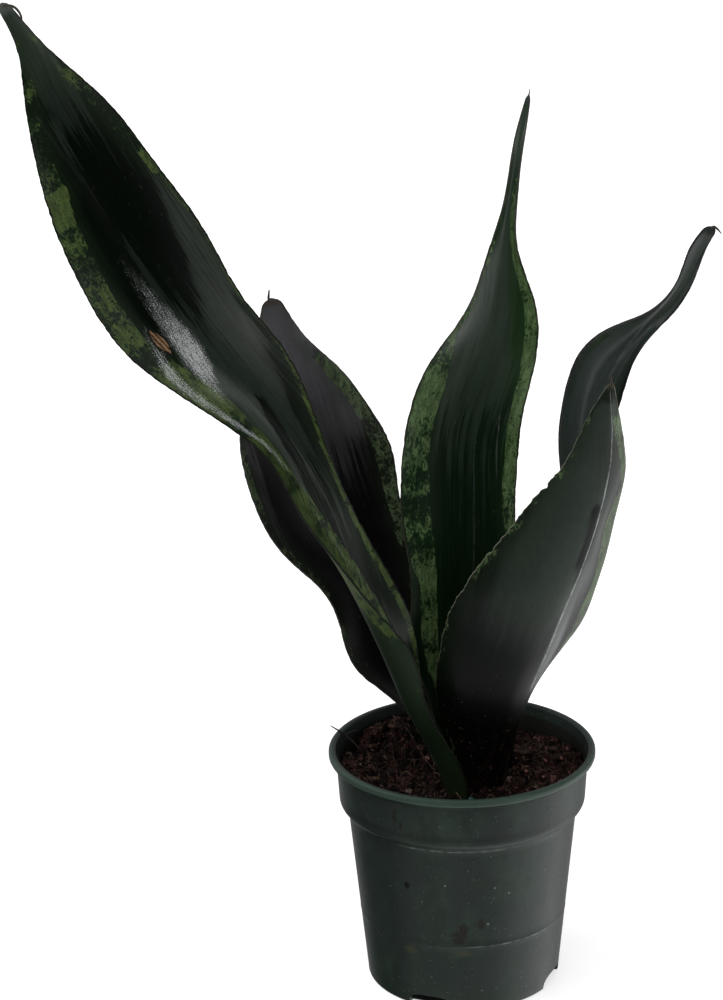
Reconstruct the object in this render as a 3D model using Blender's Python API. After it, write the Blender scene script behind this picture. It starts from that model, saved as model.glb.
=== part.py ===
"""Potted Whitney snake plant: a nursery pot, its potting soil and five leaves.

Metres, +Z up. The origin is the centre of the pot's underside. +X is to the plant's right and -Y
is its front. Sizes are written in millimetres and turned into metres by MM.
"""

import math

import bmesh
import bpy
import numpy as np

MM = 0.001
GAP = 0.35              # clearance between pieces that touch on the real plant

# Pot, turned about Z
POT_HEIGHT = 99.8
WALL = 1.2
FLOOR = 1.4
FOOT_RADIUS = 39.5      # outside, just above the rounded bottom corner
FOOT_CORNER = 1.2
BODY_TOP_RADIUS = 46.8
BODY_TOP = 74.4
BAND_FOOT_RADIUS = 50.3
BAND_FOOT = 79.2
BAND_ROUND = 4.0        # radius of the rounded step under the band
BAND_UNDERSIDE = -75.0  # angle at which that step leaves the body
BAND_TOP_RADIUS = 51.3
BAND_TOP = 94.6
LIP_RADIUS = 54.4
LIP_HEIGHT = 3.2
LIP_ROUND = 1.1
LIP_UNDERSIDE = -80.0
LIP_INNER_RADIUS = 51.4
INNER_SHOULDER = 0.3    # rise of the wall's inner bend over its outer one
POT_SEGMENTS = 72
BEND_STEPS = 3          # straight pieces in each rounded bend of the pot's profile

# Drainage slots, arched, cut through the bottom corner
SLOT_COUNT = 4
SLOT_WIDTH = 19.0
SLOT_HEIGHT = 5.5
SLOT_SQUARENESS = 3.0   # 2 gives an ellipse, more gives squarer shoulders
SLOT_FIRST_ANGLE = -20.0
SLOT_INNER_RADIUS = 34.5
SLOT_OUTER_RADIUS = 44.0
SLOT_BELOW = 1.0        # the cutter starts this far under the pot
SLOT_ARC_STEPS = 10

# Soil: a level that rises to the rear, mounds (x, y, height, spread) and small lumps, which are
# waves (radians a millimetre along x, along y, phase, height)
SOIL_LEVEL = 86.5
SOIL_REAR_RISE = 2.5
SOIL_REAR_SPREAD = 25.0
SOIL_MOUNDS = [(-26, 33, 6.5, 17), (30, 10, 3.2, 11), (16, 34, 1.5, 12), (-24, -22, 1.4, 12)]
SOIL_LUMPS = [(0.45, 0.38, 0.4, 0.35), (0.45, -0.38, 1.4, 0.35), (0.31, 0.70, 0.0, 0.42)]
SOIL_RINGS = 9

# Leaves
LEAF_ROWS = 38
HALF_COLUMNS = 4        # faces from the midrib to each margin
BASE_THICKNESS = 4.4
BLADE_THICKNESS = 2.3
TIP_THICKNESS = 1.2
MARGIN_THICKNESS = 0.9
BLADE_START = 0.25      # shares of the length between which the blade keeps its thickness
BLADE_END = 0.85
SECTION_POWER = 1.3     # how the thickness falls from the midrib to the margin
BACK_SHARE = 0.65       # part of the thickness that lies on the keeled back
MIN_HALF_WIDTH = 0.7
MARGIN_WAVE = 1.0       # height of the margin's wave
WAVE_POWER = 3          # how closely the wave keeps to the margin
WAVE_START = 0.12       # share of the length where the wave starts
WAVE_GROWTH = 0.125     # share of the length over which it grows
WAVE_DECAY = 0.167      # share of the length before the tip over which it dies away
TANGENT_REACH = 0.3
HOLE_TOP = 104.0        # each leaf's hole in the soil is cut up to here

# Each station of a leaf, from its end in the soil to its tip, is
# (midrib x, y, z, left half's width, its angle, right half's width, its angle).
# The angles are degrees in the plane across the midrib: 0 points right, 90 to the front and 180
# left, so a half at 150 and one at 30 make a channel that is open to the front.
LEAVES = {
    "leaf_tall_left": {
        "stations": [
            (-5, -13, 72, 8, 35, 7, -60),
            (-5, -14, 88, 9, 35, 8, -60),
            (-18, -14, 118, 13, 55, 12, -65),
            (-30, -17, 148, 18, 50, 16, -35),
            (-42, -20, 178, 16, 70, 15, -25),
            (-53, -24, 210, 18, 105, 11, -20),
            (-68, -24, 239, 19, 105, 16, 0),
            (-88, -22, 265, 19, 145, 25, 10),
            (-106, -20, 291, 28, 160, 25, 15),
            (-123, -17, 318, 27, 165, 27, 15),
            (-140, -11, 346, 21, 165, 23, 15),
            (-156, -7, 375, 9, 170, 15, 15),
            (-162.5, -5, 390, 4, 170, 7, 15),
            (-171.5, -4, 407, 1, 170, 1, 15),
        ],
        "keel_in_front": False,
        "wave_length": 62,
        "wave_phase": 3.54,
        "colour": (0.016, 0.045, 0.016),
    },
    "leaf_back_left": {
        "stations": [
            (-6, 12, 72, 6, 150, 6, -10),
            (-7, 12, 88, 6, 140, 7, -15),
            (-16, 18, 108, 8, 130, 10, -15),
            (-24, 24, 128, 21, 135, 15, -10),
            (-33, 31, 148, 24, 130, 19, 0),
            (-43, 38, 167, 25, 130, 25, 0),
            (-52, 44, 187, 32, 145, 29, 5),
            (-59, 51, 208, 33, 150, 31, 5),
            (-65, 55, 229, 28, 155, 25, 10),
            (-72, 60, 250, 19, 150, 13, 5),
            (-75, 62, 263, 8, 165, 7, 5),
            (-77, 64, 272, 2, 180, 2, -5),
        ],
        "keel_in_front": False,
        "wave_length": 48,
        "wave_phase": 5.14,
        "colour": (0.022, 0.026, 0.024),
    },
    "leaf_centre": {
        "stations": [
            (2, 6, 72, 8, 155, 7, 15),
            (2, 6, 88, 9, 155, 9, 20),
            (0, 8, 116, 14, 155, 13, 20),
            (0, 11, 143, 21, 160, 19, 20),
            (1, 15, 170, 24, 155, 23, 20),
            (1, 20, 198, 26, 160, 23, 20),
            (2, 25, 225, 26, 160, 23, 20),
            (10, 31, 251, 22, 160, 21, 25),
            (17, 38, 277, 13.5, 155, 15, 25),
            (19, 43, 304, 5.5, 140, 6, 45),
            (23, 48, 331, 3, 135, 3, 50),
            (28.5, 52, 358, 1, 180, 1, 0),
        ],
        "keel_in_front": False,
        "wave_length": 54,
        "wave_phase": 0.26,
        "colour": (0.015, 0.050, 0.018),
    },
    "leaf_right_twisted": {
        "stations": [
            (14, 11, 72, 6, 150, 7, 45),
            (15, 11, 88, 8, 150, 8, 50),
            (18, 14, 112, 10, 135, 9, 55),
            (25, 17, 135, 14, 130, 10, 60),
            (34, 21, 158, 16, 125, 12, 60),
            (43, 25, 180, 19, 125, 12, 55),
            (49, 29, 204, 19, 120, 13, 50),
            (51, 33, 228, 19, 125, 14, 45),
            (61, 36, 250, 18, 150, 11.5, 55),
            (77, 35, 269, 6.5, 150, 5, 50),
            (90, 29, 288, 3, 165, 4, 40),
            (96, 25, 302, 4.5, 165, 2, 20),
            (100, 22, 311, 1, 180, 1, 0),
        ],
        "keel_in_front": False,
        "wave_length": 44,
        "wave_phase": 4.34,
        "colour": (0.020, 0.035, 0.024),
    },
    "leaf_front_right": {
        "stations": [
            (13, -6, 72, 10, 165, 7, -50),
            (14, -7, 88, 13, 165, 8, -60),
            (20, -8, 107, 30, 175, 9, -85),
            (26, -12, 127, 38, 180, 12, -80),
            (34, -15, 146, 43, 180, 18, -65),
            (41, -19, 165, 41, 180, 21, -60),
            (48, -22, 184, 35, 185, 19, -60),
            (54, -24, 204, 29, 185, 13.5, -65),
            (58, -28, 224, 20, 190, 14, -60),
            (58, -31, 244, 12, 190, 6, -50),
            (58, -34, 265, 1, 180, 1, 0),
        ],
        "keel_in_front": True,
        "wave_length": 50,
        "wave_phase": 3.14,
        "colour": (0.028, 0.042, 0.034),
    },
}

POT_COLOUR = (0.030, 0.048, 0.040)
POT_ROUGHNESS = 0.42
SOIL_COLOUR = (0.035, 0.018, 0.013)
SOIL_ROUGHNESS = 0.95
LEAF_ROUGHNESS = 0.3
POT_SHARP_ANGLE = 28.0      # edges that turn more than this stay crisp in the shading
NATURAL_SHARP_ANGLE = 60.0


def clear_scene():
    for item in list(bpy.data.objects):
        bpy.data.objects.remove(item, do_unlink=True)


def make_material(name, colour, roughness):
    material = bpy.data.materials.new(name)
    material.use_nodes = True
    shader = material.node_tree.nodes["Principled BSDF"]
    shader.inputs["Base Color"].default_value = (*colour, 1.0)
    shader.inputs["Roughness"].default_value = roughness
    shader.inputs["Metallic"].default_value = 0.0
    return material


def mesh_from(name, points, faces):
    """A mesh from points in millimetres, with its faces turned outwards."""
    mesh = bpy.data.meshes.new(name)
    mesh.from_pydata([tuple(float(c) * MM for c in point) for point in points], [], faces)
    build = bmesh.new()
    build.from_mesh(mesh)
    bmesh.ops.recalc_face_normals(build, faces=build.faces)
    build.to_mesh(mesh)
    build.free()
    return mesh


def add_piece(name, mesh, material, sharp_angle):
    piece = bpy.data.objects.new(name, mesh)
    bpy.context.scene.collection.objects.link(piece)
    mesh.materials.append(material)
    mesh.shade_smooth()
    mesh.set_sharp_from_angle(angle=math.radians(sharp_angle))
    return piece


def add_cutter(name, mesh):
    cutter = bpy.data.objects.new(name, mesh)
    bpy.context.scene.collection.objects.link(cutter)
    cutter.hide_render = True
    cutter.display_type = "WIRE"
    return cutter


def cut(piece, cutter):
    boolean = piece.modifiers.new(cutter.name, "BOOLEAN")
    boolean.operation = "DIFFERENCE"
    boolean.solver = "EXACT"
    boolean.object = cutter


def arc(centre_r, centre_z, radius, start, end, steps=BEND_STEPS):
    """Points (r, z) on an arc, from the start angle to the end angle in degrees."""
    angles = np.radians(np.linspace(start, end, steps + 1))
    return [(centre_r + radius * math.cos(a), centre_z + radius * math.sin(a)) for a in angles]


def body_lean():
    """How far the pot's body leans outwards, in degrees."""
    return math.degrees(math.atan2(BODY_TOP_RADIUS - FOOT_RADIUS, BODY_TOP - FOOT_CORNER))


def pot_outside():
    """The pot's outside from the underside's rim up to the lip's inner edge, as (r, z)."""
    foot_centre = FOOT_RADIUS - FOOT_CORNER
    band_centre = BAND_FOOT_RADIUS - BAND_ROUND
    lip_outer = LIP_RADIUS - LIP_ROUND
    lip_inner = LIP_INNER_RADIUS + LIP_ROUND
    lip_top = POT_HEIGHT - LIP_ROUND
    lip_foot = POT_HEIGHT - LIP_HEIGHT + LIP_ROUND
    outside = arc(foot_centre, FOOT_CORNER, FOOT_CORNER, -90, -body_lean())
    outside += [(BODY_TOP_RADIUS, BODY_TOP)]
    outside += arc(band_centre, BAND_FOOT, BAND_ROUND, BAND_UNDERSIDE, 0, BEND_STEPS + 1)
    outside += [(BAND_TOP_RADIUS, BAND_TOP)]
    outside += arc(lip_outer, lip_foot, LIP_ROUND, LIP_UNDERSIDE, 0, BEND_STEPS - 1)
    outside += arc(lip_outer, lip_top, LIP_ROUND, 0, 90)
    outside += arc(lip_inner, lip_top, LIP_ROUND, 90, 180)
    return outside


def pot_inside():
    """The pot's inside from under the lip down to the floor's edge, as (r, z)."""
    band_centre = BAND_FOOT_RADIUS - BAND_ROUND
    foot_centre = FOOT_RADIUS - FOOT_CORNER - WALL
    inside = [(BAND_TOP_RADIUS - WALL, BAND_TOP)]
    inside += arc(band_centre, BAND_FOOT, BAND_ROUND - WALL, 0, BAND_UNDERSIDE)
    inside += [(BODY_TOP_RADIUS - WALL, BODY_TOP + INNER_SHOULDER)]
    inside += arc(foot_centre, FLOOR + FOOT_CORNER, FOOT_CORNER, -body_lean(), -90)
    return inside


def turned(name, profile):
    """A solid turned about Z from a profile (r, z) whose first and last points are on the axis."""
    build = bmesh.new()
    corners = [build.verts.new((r * MM, 0.0, z * MM)) for r, z in profile]
    edges = [build.edges.new(pair) for pair in zip(corners, corners[1:])]
    bmesh.ops.spin(build, geom=corners + edges, cent=(0, 0, 0), axis=(0, 0, 1),
                   angle=2 * math.pi, steps=POT_SEGMENTS, use_merge=True)
    bmesh.ops.remove_doubles(build, verts=build.verts, dist=0.01 * MM)
    bmesh.ops.recalc_face_normals(build, faces=build.faces)
    mesh = bpy.data.meshes.new(name)
    build.to_mesh(mesh)
    build.free()
    return mesh


def slot_outline():
    """Outline of a low arched drainage slot, as (across, z), running below the pot."""
    half = SLOT_WIDTH / 2
    power = 2.0 / SLOT_SQUARENESS
    arch = []
    for angle in np.linspace(0, math.pi, SLOT_ARC_STEPS + 1):
        across = math.copysign(abs(math.cos(angle)) ** power, math.cos(angle))
        arch.append((half * across, SLOT_HEIGHT * max(math.sin(angle), 0.0) ** power))
    return [(half, -SLOT_BELOW)] + arch + [(-half, -SLOT_BELOW)]


def slot_cutter():
    """All the drainage slots as one mesh of separate arched bars along the radius."""
    outline = slot_outline()
    count = len(outline)
    points = []
    faces = []
    for index in range(SLOT_COUNT):
        turn = math.radians(SLOT_FIRST_ANGLE + 360.0 * index / SLOT_COUNT)
        start = len(points)
        for radius in (SLOT_INNER_RADIUS, SLOT_OUTER_RADIUS):
            for across, z in outline:
                x = radius * math.cos(turn) - across * math.sin(turn)
                y = radius * math.sin(turn) + across * math.cos(turn)
                points.append((x, y, z))
        for i in range(count):
            j = (i + 1) % count
            faces.append((start + i, start + j, start + count + j, start + count + i))
        faces.append(tuple(start + i for i in reversed(range(count))))
        faces.append(tuple(start + count + i for i in range(count)))
    return mesh_from("slot_cutter", points, faces)


def make_pot():
    profile = [(0.0, 0.0)] + pot_outside() + pot_inside() + [(0.0, FLOOR)]
    material = make_material("pot_plastic", POT_COLOUR, POT_ROUGHNESS)
    pot = add_piece("pot", turned("pot", profile), material, POT_SHARP_ANGLE)
    cut(pot, add_cutter("slot_cutter", slot_cutter()))


def soil_height(x, y):
    """Height of the soil's top at a place, in millimetres."""
    height = SOIL_LEVEL + SOIL_REAR_RISE * math.tanh(y / SOIL_REAR_SPREAD)
    for mound_x, mound_y, rise, spread in SOIL_MOUNDS:
        away = ((x - mound_x) ** 2 + (y - mound_y) ** 2) / spread ** 2
        height += rise * math.exp(-away)
    for along_x, along_y, phase, rise in SOIL_LUMPS:
        height += rise * math.sin(along_x * x + along_y * y + phase)
    return height


def inside_radius(z):
    """Radius of the pot's inner wall at a height between the band's foot and its top."""
    share = (z - BAND_FOOT) / (BAND_TOP - BAND_FOOT)
    return BAND_FOOT_RADIUS + share * (BAND_TOP_RADIUS - BAND_FOOT_RADIUS) - WALL


def soil_edge_radius(angle):
    """Radius of the soil's top edge, just inside the pot's wall at the soil's height there."""
    radius = inside_radius(SOIL_LEVEL) - GAP
    return inside_radius(soil_height(radius * math.cos(angle), radius * math.sin(angle))) - GAP


def soil_mesh():
    """The soil as one solid: sides just inside the pot's wall and a lumpy top."""
    lower = [(r - GAP, z + GAP) for r, z in reversed(pot_inside()) if z <= BAND_FOOT]
    angles = np.linspace(0, 2 * math.pi, POT_SEGMENTS, endpoint=False)
    points = []
    for radius, z in lower:
        points += [(radius * math.cos(a), radius * math.sin(a), z) for a in angles]
    for ring in range(SOIL_RINGS):
        share = 1.0 - ring / SOIL_RINGS
        for a in angles:
            radius = share * soil_edge_radius(a)
            x = radius * math.cos(a)
            y = radius * math.sin(a)
            points.append((x, y, soil_height(x, y)))
    ring_count = len(lower) + SOIL_RINGS
    faces = []
    for ring in range(ring_count - 1):
        for i in range(POT_SEGMENTS):
            a = ring * POT_SEGMENTS + i
            b = ring * POT_SEGMENTS + (i + 1) % POT_SEGMENTS
            faces.append((a, b, b + POT_SEGMENTS, a + POT_SEGMENTS))
    top = len(points)
    points.append((0.0, 0.0, soil_height(0.0, 0.0)))
    bottom = len(points)
    points.append((0.0, 0.0, lower[0][1]))
    last = (ring_count - 1) * POT_SEGMENTS
    for i in range(POT_SEGMENTS):
        j = (i + 1) % POT_SEGMENTS
        faces.append((last + i, last + j, top))
        faces.append((j, i, bottom))
    return mesh_from("soil", points, faces)


def spline(knots, values, at):
    """Natural cubic spline through the values at the knots, read at other places."""
    knots = np.asarray(knots, dtype=float)
    values = np.asarray(values, dtype=float)
    count = len(knots)
    step = np.diff(knots)
    slope = np.diff(values, axis=0) / step[:, None]
    system = np.eye(count)
    right = np.zeros_like(values)
    for i in range(1, count - 1):
        system[i, i - 1] = step[i - 1]
        system[i, i] = 2 * (step[i - 1] + step[i])
        system[i, i + 1] = step[i]
        right[i] = 3 * (slope[i] - slope[i - 1])
    bend = np.linalg.solve(system, right)
    i = np.clip(np.searchsorted(knots, at, side="right") - 1, 0, count - 2)
    away = (at - knots[i])[:, None]
    width = step[i][:, None]
    first = slope[i] - width * (2 * bend[i] + bend[i + 1]) / 3
    third = (bend[i + 1] - bend[i]) / (3 * width)
    return values[i] + away * first + away ** 2 * bend[i] + away ** 3 * third


def unit(vectors):
    return vectors / np.linalg.norm(vectors, axis=-1, keepdims=True)


def leaf_frame(stations, distance):
    """Midrib points, both half-blade directions and their widths at distances along the midrib."""
    table = np.asarray(stations, dtype=float)
    steps = np.linalg.norm(np.diff(table[:, :3], axis=0), axis=1)
    along = np.concatenate([[0.0], np.cumsum(steps)])
    values = spline(along, table, distance)
    ahead = spline(along, table[:, :3], np.minimum(distance + TANGENT_REACH, along[-1]))
    behind = spline(along, table[:, :3], np.maximum(distance - TANGENT_REACH, 0.0))
    forward = unit(ahead - behind)
    right = unit(np.cross((0.0, 1.0, 0.0), forward))
    front = np.cross(right, forward)
    halves = []
    for width_column, angle_column in ((3, 4), (5, 6)):
        angle = np.radians(values[:, angle_column])[:, None]
        width = np.maximum(values[:, width_column], MIN_HALF_WIDTH)[:, None]
        halves.append((np.cos(angle) * right + np.sin(angle) * front, width))
    return values[:, :3], halves


def leaf_length(stations):
    table = np.asarray(stations, dtype=float)[:, :3]
    return float(np.linalg.norm(np.diff(table, axis=0), axis=1).sum())


def leaf_skins(leaf, distance, grow=0.0):
    """The front and back skins of a leaf as two grids of points, rows along and columns across.

    Each row is a smooth curve through the left margin, the midrib and the right margin. grow adds
    clearance all round, for the leaf's hole in the soil.
    """
    midrib, ((to_left, left), (to_right, right)) = leaf_frame(leaf["stations"], distance)
    left = left + grow
    right = right + grow
    share = np.linspace(-1.0, 1.0, 2 * HALF_COLUMNS + 1)
    across = np.where(share < 0, share * left, share * right)[:, :, None]
    slope = ((to_right * left - to_left * right) / (left + right))[:, None, :]
    bend = ((to_right + to_left) / (left + right))[:, None, :]
    middle = midrib[:, None, :] + across * slope + across ** 2 * bend
    sideways = slope + 2 * across * bend
    lengthwise = np.gradient(middle, axis=0)
    to_front = unit(np.cross(sideways, lengthwise))
    part = distance / leaf_length(leaf["stations"])
    rising = np.clip((part - WAVE_START) / WAVE_GROWTH, 0, 1)
    dying = np.clip((1 - part) / WAVE_DECAY, 0, 1)
    phase = 2 * math.pi * distance / leaf["wave_length"] + leaf["wave_phase"]
    height = MARGIN_WAVE * rising * dying * np.sin(phase)
    wave = height[:, None] * np.sign(share) * np.abs(share) ** WAVE_POWER
    middle = middle + wave[:, :, None] * to_front
    turns = [0.0, BLADE_START, BLADE_END, 1.0]
    body = [BASE_THICKNESS, BLADE_THICKNESS, BLADE_THICKNESS, TIP_THICKNESS]
    extra = np.interp(part, turns, body)[:, None] - MARGIN_THICKNESS
    thickness = MARGIN_THICKNESS + extra * (1 - np.abs(share)) ** SECTION_POWER
    front_share = BACK_SHARE if leaf["keel_in_front"] else 1 - BACK_SHARE
    front = middle + (thickness * front_share + grow)[:, :, None] * to_front
    back = middle - (thickness * (1 - front_share) + grow)[:, :, None] * to_front
    return front, back


def leaf_mesh(name, front, back):
    """A closed solid between two skins, split into triangles alike on both."""
    rows, columns, _ = front.shape
    points = np.concatenate([front.reshape(-1, 3), back.reshape(-1, 3)])
    offset = rows * columns
    faces = []

    def quad(a, b, c, d):
        faces.extend([(a, b, c), (a, c, d)])

    for row in range(rows - 1):
        for column in range(columns - 1):
            a = row * columns + column
            b, c, d = a + 1, a + columns + 1, a + columns
            quad(a, b, c, d)
            faces.extend([(offset + a, offset + c, offset + b), (offset + a, offset + d, offset + c)])
        for column in (0, columns - 1):
            a = row * columns + column
            quad(a, a + columns, offset + a + columns, offset + a)
    for row in (0, rows - 1):
        for column in range(columns - 1):
            a = row * columns + column
            quad(a, a + 1, offset + a + 1, offset + a)
    return mesh_from(name, points, faces)


def make_leaf(name, leaf):
    distance = np.linspace(0.0, leaf_length(leaf["stations"]), LEAF_ROWS)
    front, back = leaf_skins(leaf, distance)
    material = make_material(name + "_green", leaf["colour"], LEAF_ROUGHNESS)
    add_piece(name, leaf_mesh(name, front, back), material, NATURAL_SHARP_ANGLE)


def hole_cutter():
    """The holes that the leaves stand in, as one mesh of separate solids."""
    build = bmesh.new()
    for name, leaf in LEAVES.items():
        distance = np.linspace(0.0, leaf_length(leaf["stations"]), LEAF_ROWS)
        front, back = leaf_skins(leaf, distance, GAP)
        kept = int(np.searchsorted(front[:, HALF_COLUMNS, 2], HOLE_TOP)) + 1
        front[0, :, 2] -= GAP
        back[0, :, 2] -= GAP
        build.from_mesh(leaf_mesh(name + "_hole", front[:kept], back[:kept]))
    mesh = bpy.data.meshes.new("leaf_holes")
    build.to_mesh(mesh)
    build.free()
    return mesh


def make_soil():
    material = make_material("potting_soil", SOIL_COLOUR, SOIL_ROUGHNESS)
    soil = add_piece("soil", soil_mesh(), material, NATURAL_SHARP_ANGLE)
    cut(soil, add_cutter("leaf_holes", hole_cutter()))


def main():
    clear_scene()
    make_pot()
    make_soil()
    for name, leaf in LEAVES.items():
        make_leaf(name, leaf)


main()
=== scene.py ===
"""Potted snake plant: waved leaves with mottled margins, a moulded nursery pot, soil with its litter,
and a plain stage. Sizes are in millimetres and are turned into metres where a mesh or a node tree is
made. The lengths among the settings are in Blender's own unit."""
import math
import random

import bmesh
import bpy
import numpy as np
from bpy.props import FloatProperty, FloatVectorProperty, IntProperty, PointerProperty
from mathutils import Matrix, Vector, noise


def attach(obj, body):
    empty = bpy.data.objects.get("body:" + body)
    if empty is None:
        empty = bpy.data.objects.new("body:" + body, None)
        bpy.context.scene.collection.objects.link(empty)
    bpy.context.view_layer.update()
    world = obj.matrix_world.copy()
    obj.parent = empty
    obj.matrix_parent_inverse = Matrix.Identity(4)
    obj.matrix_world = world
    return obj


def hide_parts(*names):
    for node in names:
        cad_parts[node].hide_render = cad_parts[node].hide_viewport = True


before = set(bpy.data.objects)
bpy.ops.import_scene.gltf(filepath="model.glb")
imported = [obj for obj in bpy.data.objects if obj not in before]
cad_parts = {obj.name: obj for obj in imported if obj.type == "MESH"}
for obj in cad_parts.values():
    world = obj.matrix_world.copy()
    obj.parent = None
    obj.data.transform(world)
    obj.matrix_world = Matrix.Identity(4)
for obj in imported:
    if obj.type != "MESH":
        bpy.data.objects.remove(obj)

bl_info = {
    "name": "Potted snake plant",
    "version": (1, 0, 0),
    "blender": (4, 5, 0),
    "location": "View3D > Sidebar > Plant",
    "description": "Builds a potted snake plant with its leaves, pot, soil and stage",
    "category": "Object",
}

MM = 0.001
DEGREES = 180 / math.pi                    # from radians
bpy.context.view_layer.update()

# Leaves

COLUMN_SHARES = [0.0, 0.04, 0.09, 0.15, 0.22, 0.29, 0.36, 0.43, 0.5, 0.57, 0.64, 0.71, 0.78, 0.85, 0.91,
                 0.96]
COLUMN_END = 0.995                         # how much of the way to the margin's rounding they reach
MARGIN_STEPS = [1.0, 0.6, 0.3, 0.1, 0.0]   # distances from the margin, as shares of its rounding
MARGIN_ROUND = 0.45
MARGIN_ROUND_SHARE = 0.3                   # the most of a narrow half that the rounding takes
BASE_THICKNESS = 4.4
BLADE_THICKNESS = 2.3
TIP_THICKNESS = 1.2
MARGIN_THICKNESS = 0.9
BLADE_START = 0.25
BLADE_END = 0.85
SECTION_POWER = 1.3
BACK_SHARE = 0.65
MIN_HALF_WIDTH = 0.7
MARGIN_WAVE = 1.0
WAVE_POWER = 3
WAVE_START = 0.12
WAVE_GROWTH = 0.125
WAVE_DECAY = 0.167
TANGENT_REACH = 0.3
FOLD_FADE = 0.08                           # share of the length over which a long fold rises and dies
STROKE_END = 0.02                          # share of the length over which a stroke of wax ends
STROKE_CORE = 0.5                          # share of a stroke's half width that it covers evenly
TIP_REACH = 3.0                            # the last millimetres, over which the tip closes
STROKE_REACH = 1.3                         # multiples of its half width at which a stroke ends
TIP_LEAST = 0.02                           # square of the share of its width that the very tip keeps

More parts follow.
